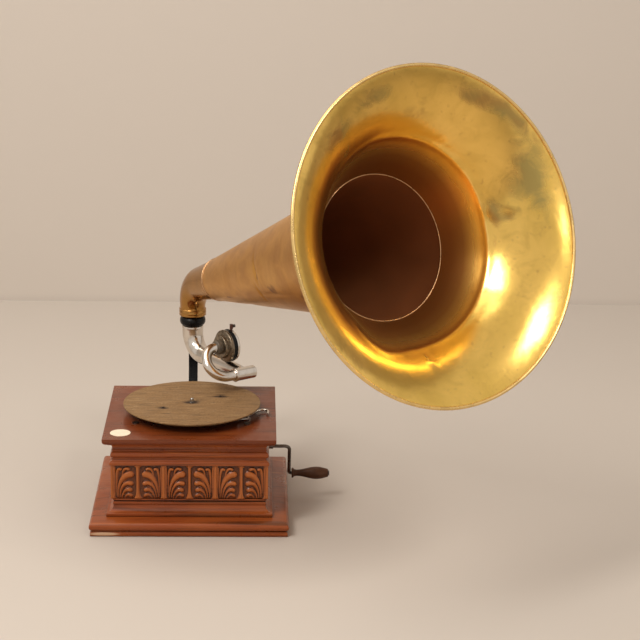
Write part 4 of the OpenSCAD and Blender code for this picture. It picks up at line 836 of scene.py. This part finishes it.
def motif_mesh(c):
    """One leaf motif as a sheet of points, with the height of its relief as an attribute."""
    cell = 2 * c.face / c.repeats
    cols = int(round(cell / c.step)) + 1
    rows = int(round((c.high - c.low) / c.step)) + 1
    x, z = np.meshgrid(np.linspace(-cell / 2, cell / 2, cols), np.linspace(c.low, c.high, rows))
    relief = carving(np.abs(x) / cell * DRAWN_WIDTH, (z - c.low) / MM, (c.high - c.low) / MM)
    edge = np.clip((z - c.low) / 0.0015, 0, 1) * np.clip((c.high - z) / 0.0008, 0, 1)
    rise = relief * c.relief * (0.25 + 0.75 * np.sqrt(edge))
    low_round = 0.0012 * np.clip(1 - (z - c.low) / 0.004, 0, 1) ** 2
    points = np.stack([x, low_round - c.face - rise, z], -1).reshape(-1, 3)
    mesh = bpy.data.meshes.new("motif")
    mesh.from_pydata(points.tolist(), [], grid_faces(rows, cols, closed=False))
    mesh.attributes.new("relief", "FLOAT", "POINT").data.foreach_set("value", relief.ravel())
    shade_smooth(mesh)
    return mesh


def motif_tree():
    """Motifs side by side: the given mesh set on a row of points and welded to one sheet."""
    tree, given, result = new_tree("motif_row", (
        ("Motifs", "Int"), ("Start", "Vector"), ("Step", "Vector"), ("Weld", "Float"), ("Material", "Material")))
    row = geometry(tree, "MeshLine", {"Count": given["Motifs"], "Start Location": given["Start"],
                                      "Offset": given["Step"]})
    placed = geometry(tree, "InstanceOnPoints", {"Points": row, "Instance": given["Geometry"]})
    real = geometry(tree, "RealizeInstances", {"Geometry": placed})
    joined = geometry(tree, "MergeByDistance", {"Geometry": real, "Distance": given["Weld"]})
    dressed = geometry(tree, "SetMaterial", {"Geometry": joined, "Material": given["Material"]})
    tree.links.new(dressed.outputs[0], result)
    return tree


def close_side(mesh, c, direction):
    """Mitres the ends of a carved sheet, closes it to a board and turns it about Z by direction in degrees."""
    back = c.face - c.board
    form = bmesh.new()
    form.from_mesh(mesh)
    for v in form.verts:
        v.co.x *= -v.co.y / c.face
    rim = bmesh.ops.extrude_edge_only(form, edges=[e for e in form.edges if e.is_boundary])
    for v in (item for item in rim["geom"] if isinstance(item, bmesh.types.BMVert)):
        v.co.x = min(max(v.co.x, -back), back)
        v.co.y = -back
    bmesh.ops.holes_fill(form, edges=[e for e in form.edges if e.is_boundary])
    bmesh.ops.recalc_face_normals(form, faces=form.faces)
    bmesh.ops.rotate(form, verts=form.verts, matrix=Matrix.Rotation(math.radians(direction), 3, "Z"))
    form.to_mesh(mesh)
    form.free()


class GRAMO_OT_frieze(bpy.types.Operator):
    """Add the carved leaf frieze on the front and both sides"""
    bl_idname = "gramo.frieze"
    bl_label = "Carved frieze"

    def execute(self, context):
        c = context.scene.carving_sizes
        cell = 2 * c.face / c.repeats
        values = {"Motifs": c.repeats, "Start": (cell / 2 - c.face, 0.0, 0.0), "Step": (cell, 0.0, 0.0),
                  "Weld": c.step / 10, "Material": material("oak_carved")}
        tree = motif_tree()
        for node, direction in (("front_frieze", 0), ("right_frieze", 90), ("left_frieze", -90)):
            obj = grown(node + "_carved", tree, values, motif_mesh(c))
            close_side(obj.data, c, direction)
            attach(obj, "case")
            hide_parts(node)
        return {"FINISHED"}


# Carried-over nodes

SHARP = math.radians(35)  # edges sharper than this are rounded


def soften(obj, width):
    """Joins the node's split vertices, rounds its edges and shades it smooth."""
    shade_smooth(obj.data)
    weld = obj.modifiers.new("Weld", "WELD")
    weld.merge_threshold = MM / 100
    if width:
        bevel = obj.modifiers.new("Bevel", "BEVEL")
        bevel.width = width
        bevel.segments = 2
        bevel.limit_method = "ANGLE"
        bevel.angle_limit = SHARP
        bevel.harden_normals = True
    normals = obj.modifiers.new("Normals", "WEIGHTED_NORMAL")
    normals.keep_sharp = True


SOFT = {
    # material name, edge radius in metres
    "plinth": ("oak_plinth", 0.0012), "base_moulding": ("oak_x", 0.0008), "neck_moulding": ("oak_x", 0.0008),
    "front_board": ("oak_x", 0.0006), "back_board": ("oak_x", 0.0006), "left_board": ("oak_y", 0.0006),
    "right_board": ("oak_y", 0.0006), "top_board": ("oak_top", 0.0012), "bottom_board": ("raw_wood", 0.0006),
    "blank_plate": ("cream_plate", 0.0003), "turntable": ("table_top", 0.0006), "table_rivets": ("rivet_dark", 0.0),
    "spindle": ("steel_worn", 0.0002), "brake_pivot": ("nickel", 0.0002), "brake_lever": ("nickel", 0.0),
    "brake_pad": ("leather_brown", 0.0003), "speed_screw": ("steel_worn", 0.0004), "motor_bolts": ("rod_dark", 0.0004),
    "crank_bush": ("rod_dark", 0.0003), "crank_rod": ("rod_dark", 0.0), "crank_grip": ("grip_wood", 0.0003),
    "bracket": ("black_iron", 0.0008), "bracket_screws": ("steel_worn", 0.0002), "crosspiece": ("nickel", 0.0003),
    "gooseneck": ("nickel", 0.0), "rubber_flange": ("rubber_old", 0.0004), "sound_box_body": ("box_brown", 0.0004),
    "diaphragm": ("mica", 0.0), "face_ring": ("nickel", 0.0004), "stylus_bar": ("bar_red", 0.0003),
    "needle_screw": ("rod_dark", 0.0004),
}
INNER = {
    "steel": "steel_worn", "gear_brass": "brass_outside", "black_iron": "black_iron", "rubber": "rubber_old",
    "spring_steel": "rod_dark",
}
BAND_DEPTH = 0.008  # how far behind the face ring's middle the band starts


def middle(obj):
    """Middle of an object's own box."""
    return sum((Vector(corner) for corner in obj.bound_box), Vector()) / 8


def box_band():
    """The black band between the sound box's body and its face ring."""
    nodes = frame["nodes"]
    body, ring, flange = nodes["sound_box_body"], middle(nodes["face_ring"]), middle(nodes["rubber_flange"])
    axis = (ring - flange).normalized()
    body.data.materials.append(material("black_iron"))
    for face in body.data.polygons:
        if (face.center - ring).dot(axis) > -BAND_DEPTH:
            face.material_index = 1


class GRAMO_OT_finish_nodes(bpy.types.Operator):
    """Round the edges of the carried-over nodes and give them their materials"""
    bl_idname = "gramo.finish_nodes"
    bl_label = "Finish the nodes"

    def execute(self, context):
        slots = {s["node"]: s["material_slot"] for s in frame["record"]["subparts"]}
        for name, obj in frame["nodes"].items():
            finish, width = SOFT.get(name, (INNER.get(slots.get(name), "steel_worn"), 0.0))
            obj.data.materials.clear()
            obj.data.materials.append(material(finish))
            if name in SOFT:
                soften(obj, width)
        box_band()
        return {"FINISHED"}


PLAIN = (
    # name, colour, roughness, metal, mottling, its scale, depth and gloss of the surface
    ("cone_inside", (0.28, 0.095, 0.030), 0.55, 0.35, 0.12, 9),
    ("brass_rim", (0.80, 0.55, 0.22), 0.28, 1.0, 0.1, 40, 0.02),
    ("brass_elbow", (0.42, 0.215, 0.060), 0.2, 1.0, 0.12, 30),
    ("seam_copper", (0.54, 0.32, 0.16), 0.3, 1.0, 0.2, 90),
    ("raw_wood", (0.30, 0.17, 0.08), 0.7, 0.0, 0.25, 50),
    ("cream_plate", (0.93, 0.80, 0.60), 0.45, 0.0, 0.05, 90, 0.05),
    ("rivet_dark", (0.035, 0.022, 0.015), 0.5, 0.6, 0.3, 300),
    ("steel_worn", (0.42, 0.40, 0.37), 0.3, 1.0, 0.25, 160),
    ("rod_dark", (0.13, 0.11, 0.095), 0.3, 1.0, 0.3, 150),
    ("leather_brown", (0.14, 0.07, 0.035), 0.8, 0.0, 0.25, 200, 0.4),
    ("grip_wood", (0.085, 0.035, 0.016), 0.36, 0.0, 0.35, 45, 0.05, 0.15),
    ("black_iron", (0.005, 0.005, 0.005), 0.28, 0.0, 0.3, 120, 0.03, 0.2),
    ("rubber_old", (0.115, 0.088, 0.060), 0.45, 0.0, 0.45, 150, 0.2),
    ("box_brown", (0.21, 0.165, 0.115), 0.30, 0.9, 0.45, 140),
    ("bar_red", (0.10, 0.038, 0.024), 0.4, 0.4, 0.4, 200),
    ("mica", (0.42, 0.38, 0.30), 0.12, 0.0, 0.12, 60),
)
TABLE_STAINS = (
    # place on the turntable and size, in metres
    (0.0, 0.0, 0.013), (-0.052, -0.0338, 0.011), (0.052, 0.0338, 0.012),
)


class GRAMO_OT_materials(bpy.types.Operator):
    """Make every material"""
    bl_idname = "gramo.materials"
    bl_label = "Materials"

    def execute(self, context):
        look = context.scene.look_colours
        oak_material("oak_x", 0, look, 0.35)
        oak_material("oak_y", 1, look, 0.35)
        oak_material("oak_plinth", 0, look, 0.35, rubbed=((-0.150, -0.1785, 0.005), (0.034, 0.01, 0.004)))
        oak_material("oak_carved", 0, look, 0.5, carved=True)
        oak_material("oak_top", 0, look, 0.1, 0.45)
        bell_material("bell_inside", look)
        brass_material("brass_outside", look)
        nickel_material("nickel", look)
        table_material("table_top", look, TABLE_STAINS)
        for values in PLAIN:
            plain_material(*values)
        return {"FINISHED"}


# The stage

FLOOR_X, FLOOR_Y = (-6, 7), (-5, 6)  # how far the floor reaches, in metres
WALL_Y, WALL_TOP = 1.40, 5
WALL_R = 0.0005  # radius of the wall's foot
WALL_LIFT = 1.10  # how much paler the wall is than the floor
LIT, SEEN = 0.58, 0.92  # strength of the room's light, and of the room as it is seen or mirrored
AIM = (0.2, -0.1, 0.3)
LAMPS = (
    # name, place, point it shines at, size in metres, watts, colour
    ("key", (-1.32, -1.56, 2.54), AIM, (0.7, 1.4), 44, (1.0, 0.97, 0.93)),
    ("broad", (1.62, -1.90, 2.86), AIM, (0.8, 0.8), 34, (1.0, 0.97, 0.93)),
    ("small", (2.0, -2.7, 1.74), (0.3, -0.2, 0.4), (0.16, 0.16), 2.5, (1.0, 0.97, 0.93)),
    ("over", (-1.1, 0.4, 3.3), (0.1, 0.0, 0.2), (3.0, 2.6), 48, (1.0, 0.98, 0.95)),
)
SENSOR = 36.0  # millimetres
PHOTO_WIDTH, FOCAL = 640, 1900  # pixels of the photo, as solved from the case and the turntable
EYE = (0.114, -3.357, 1.3215)
PITCH, YAW, ROLL = (math.radians(a) for a in (16.03, 2.07, 0.98))


def lamp(name, place, aim, size, power, colour):
    """An area lamp at place that shines at aim."""
    data = bpy.data.lights.new(name, "AREA")
    data.shape = "RECTANGLE"
    data.size, data.size_y = size
    data.energy = power
    data.color = colour
    obj = linked(name, data)
    obj.location = place
    obj.rotation_euler = (Vector(aim) - Vector(place)).to_track_quat("-Z", "Y").to_euler()


def studio_world():
    """A pale room: brighter where it is seen or mirrored than in the light that it gives."""
    world = bpy.data.worlds.new("studio")
    bpy.context.scene.world = world
    world.use_nodes = True
    tree = world.node_tree
    back = tree.nodes["Background"]
    back.inputs["Color"].default_value = (0.80, 0.75, 0.70, 1)
    rays = plug(tree, "ShaderNodeLightPath").outputs
    seen = plug(tree, "ShaderNodeMath", {0: rays["Is Camera Ray"], 1: rays["Is Glossy Ray"]}, operation="MAXIMUM")
    strength = plug(tree, "ShaderNodeMapRange", {"Value": seen, "To Min": LIT, "To Max": SEEN})
    tree.links.new(strength.outputs["Result"], back.inputs["Strength"])


def open_from_behind(n):
    """Lets a wall be seen through from its back, so the object shows from every side."""
    out = n.tree.nodes["Material Output"].inputs["Surface"]
    behind = n.add("NewGeometry").outputs["Backfacing"]
    both = n.add("MixShader", {0: behind, 1: n.shader, 2: n.add("BsdfTransparent")})
    n.tree.links.new(both.outputs[0], out)


def floor_mesh():
    """The floor up to the wall, the wall with its small rounded foot, and the floor behind it."""
    (x0, x1), (y0, y1), back = FLOOR_X, FLOOR_Y, WALL_Y + WALL_R
    points = [(x0, y0, 0), (x1, y0, 0), (x1, WALL_Y, 0), (x0, WALL_Y, 0)]
    foot = [math.radians(a) for a in range(0, 91, 15)]
    rows = [(WALL_Y + WALL_R * math.sin(a), WALL_R - WALL_R * math.cos(a)) for a in foot] + [(back, WALL_TOP)]
    points += [(x, y, z) for y, z in rows for x in FLOOR_X]
    points += [(x0, back, 0), (x1, back, 0), (x1, y1, 0), (x0, y1, 0)]
    faces = [(0, 1, 2, 3)] + [(a, a + 1, a + 3, a + 2) for a in range(4, 2 * len(rows) + 2, 2)]
    faces.append(tuple(range(len(points) - 4, len(points))))
    mesh = bpy.data.meshes.new("floor")
    mesh.from_pydata(points, [], faces)
    shade_smooth(mesh)
    return mesh


def photo_camera(scene):
    """The camera that the photo was taken with."""
    data = bpy.data.cameras.new("camera")
    data.sensor_width = SENSOR
    data.lens = FOCAL / PHOTO_WIDTH * SENSOR
    data.clip_end = 60
    scene.camera = linked("camera", data)
    place = Matrix.Translation(EYE)
    for angle, axis in ((-YAW, "Z"), (math.pi / 2 - PITCH, "X"), (ROLL, "Z")):
        place @= Matrix.Rotation(angle, 4, axis)
    scene.camera.matrix_world = place


class GRAMO_OT_stage(bpy.types.Operator):
    """Add the floor, the backdrop, the lamps and the camera"""
    bl_idname = "gramo.stage"
    bl_label = "Stage"

    def execute(self, context):
        pale = context.scene.look_colours.floor
        n = Nodes("floor_pale", pale, 0.7)
        height = n.split()["Z"]
        shade = n.mix(n.ramp(height, [(0.0, 0.0), (0.02, 1.0)]), pale, [c * WALL_LIFT for c in pale])
        n.out(Base_Color=shade, Normal=n.bump(n.noise(60.0, 3, 0.6), 0.04, 0.001))
        open_from_behind(n)
        floor = linked("floor", floor_mesh())
        floor.data.materials.append(n.mat)
        studio_world()
        for values in LAMPS:
            lamp(*values)
        photo_camera(context.scene)
        context.scene.view_settings.view_transform = "Standard"
        return {"FINISHED"}


class GRAMO_PT_panel(bpy.types.Panel):
    """Buttons and sizes of the gramophone"""
    bl_label = "Gramophone"
    bl_idname = "GRAMO_PT_panel"
    bl_space_type = "VIEW_3D"
    bl_region_type = "UI"
    bl_category = "Gramophone"

    def draw(self, context):
        for step in STEPS:
            self.layout.operator(step)
        for group in ("horn_sizes", "arm_sizes", "carving_sizes", "look_colours"):
            box = self.layout.box()
            settings = getattr(context.scene, group)
            for key in settings.__annotations__:
                box.prop(settings, key)


STEPS = ("gramo.materials", "gramo.finish_nodes", "gramo.horn_bell", "gramo.horn_cone", "gramo.horn_elbow",
         "gramo.tone_arm", "gramo.frieze", "gramo.stage")
SETTINGS = {"horn_sizes": HornSizes, "arm_sizes": ArmSizes, "carving_sizes": CarvingSizes, "look_colours": LookColours}
CLASSES = (*SETTINGS.values(), GRAMO_OT_materials, GRAMO_OT_finish_nodes, GRAMO_OT_horn_bell, GRAMO_OT_horn_cone,
           GRAMO_OT_horn_elbow, GRAMO_OT_tone_arm, GRAMO_OT_frieze, GRAMO_OT_stage, GRAMO_PT_panel)


def register():
    for cls in CLASSES:
        bpy.utils.register_class(cls)
    for name, cls in SETTINGS.items():
        setattr(bpy.types.Scene, name, PointerProperty(type=cls))


def unregister():
    for name in SETTINGS:
        delattr(bpy.types.Scene, name)
    for cls in reversed(CLASSES):
        bpy.utils.unregister_class(cls)


def main():
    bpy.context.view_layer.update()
    register()
    for step in STEPS:
        group, name = step.split(".")
        getattr(getattr(bpy.ops, group), name)()
    bpy.context.view_layer.update()


if __name__ == "__main__":
    main()
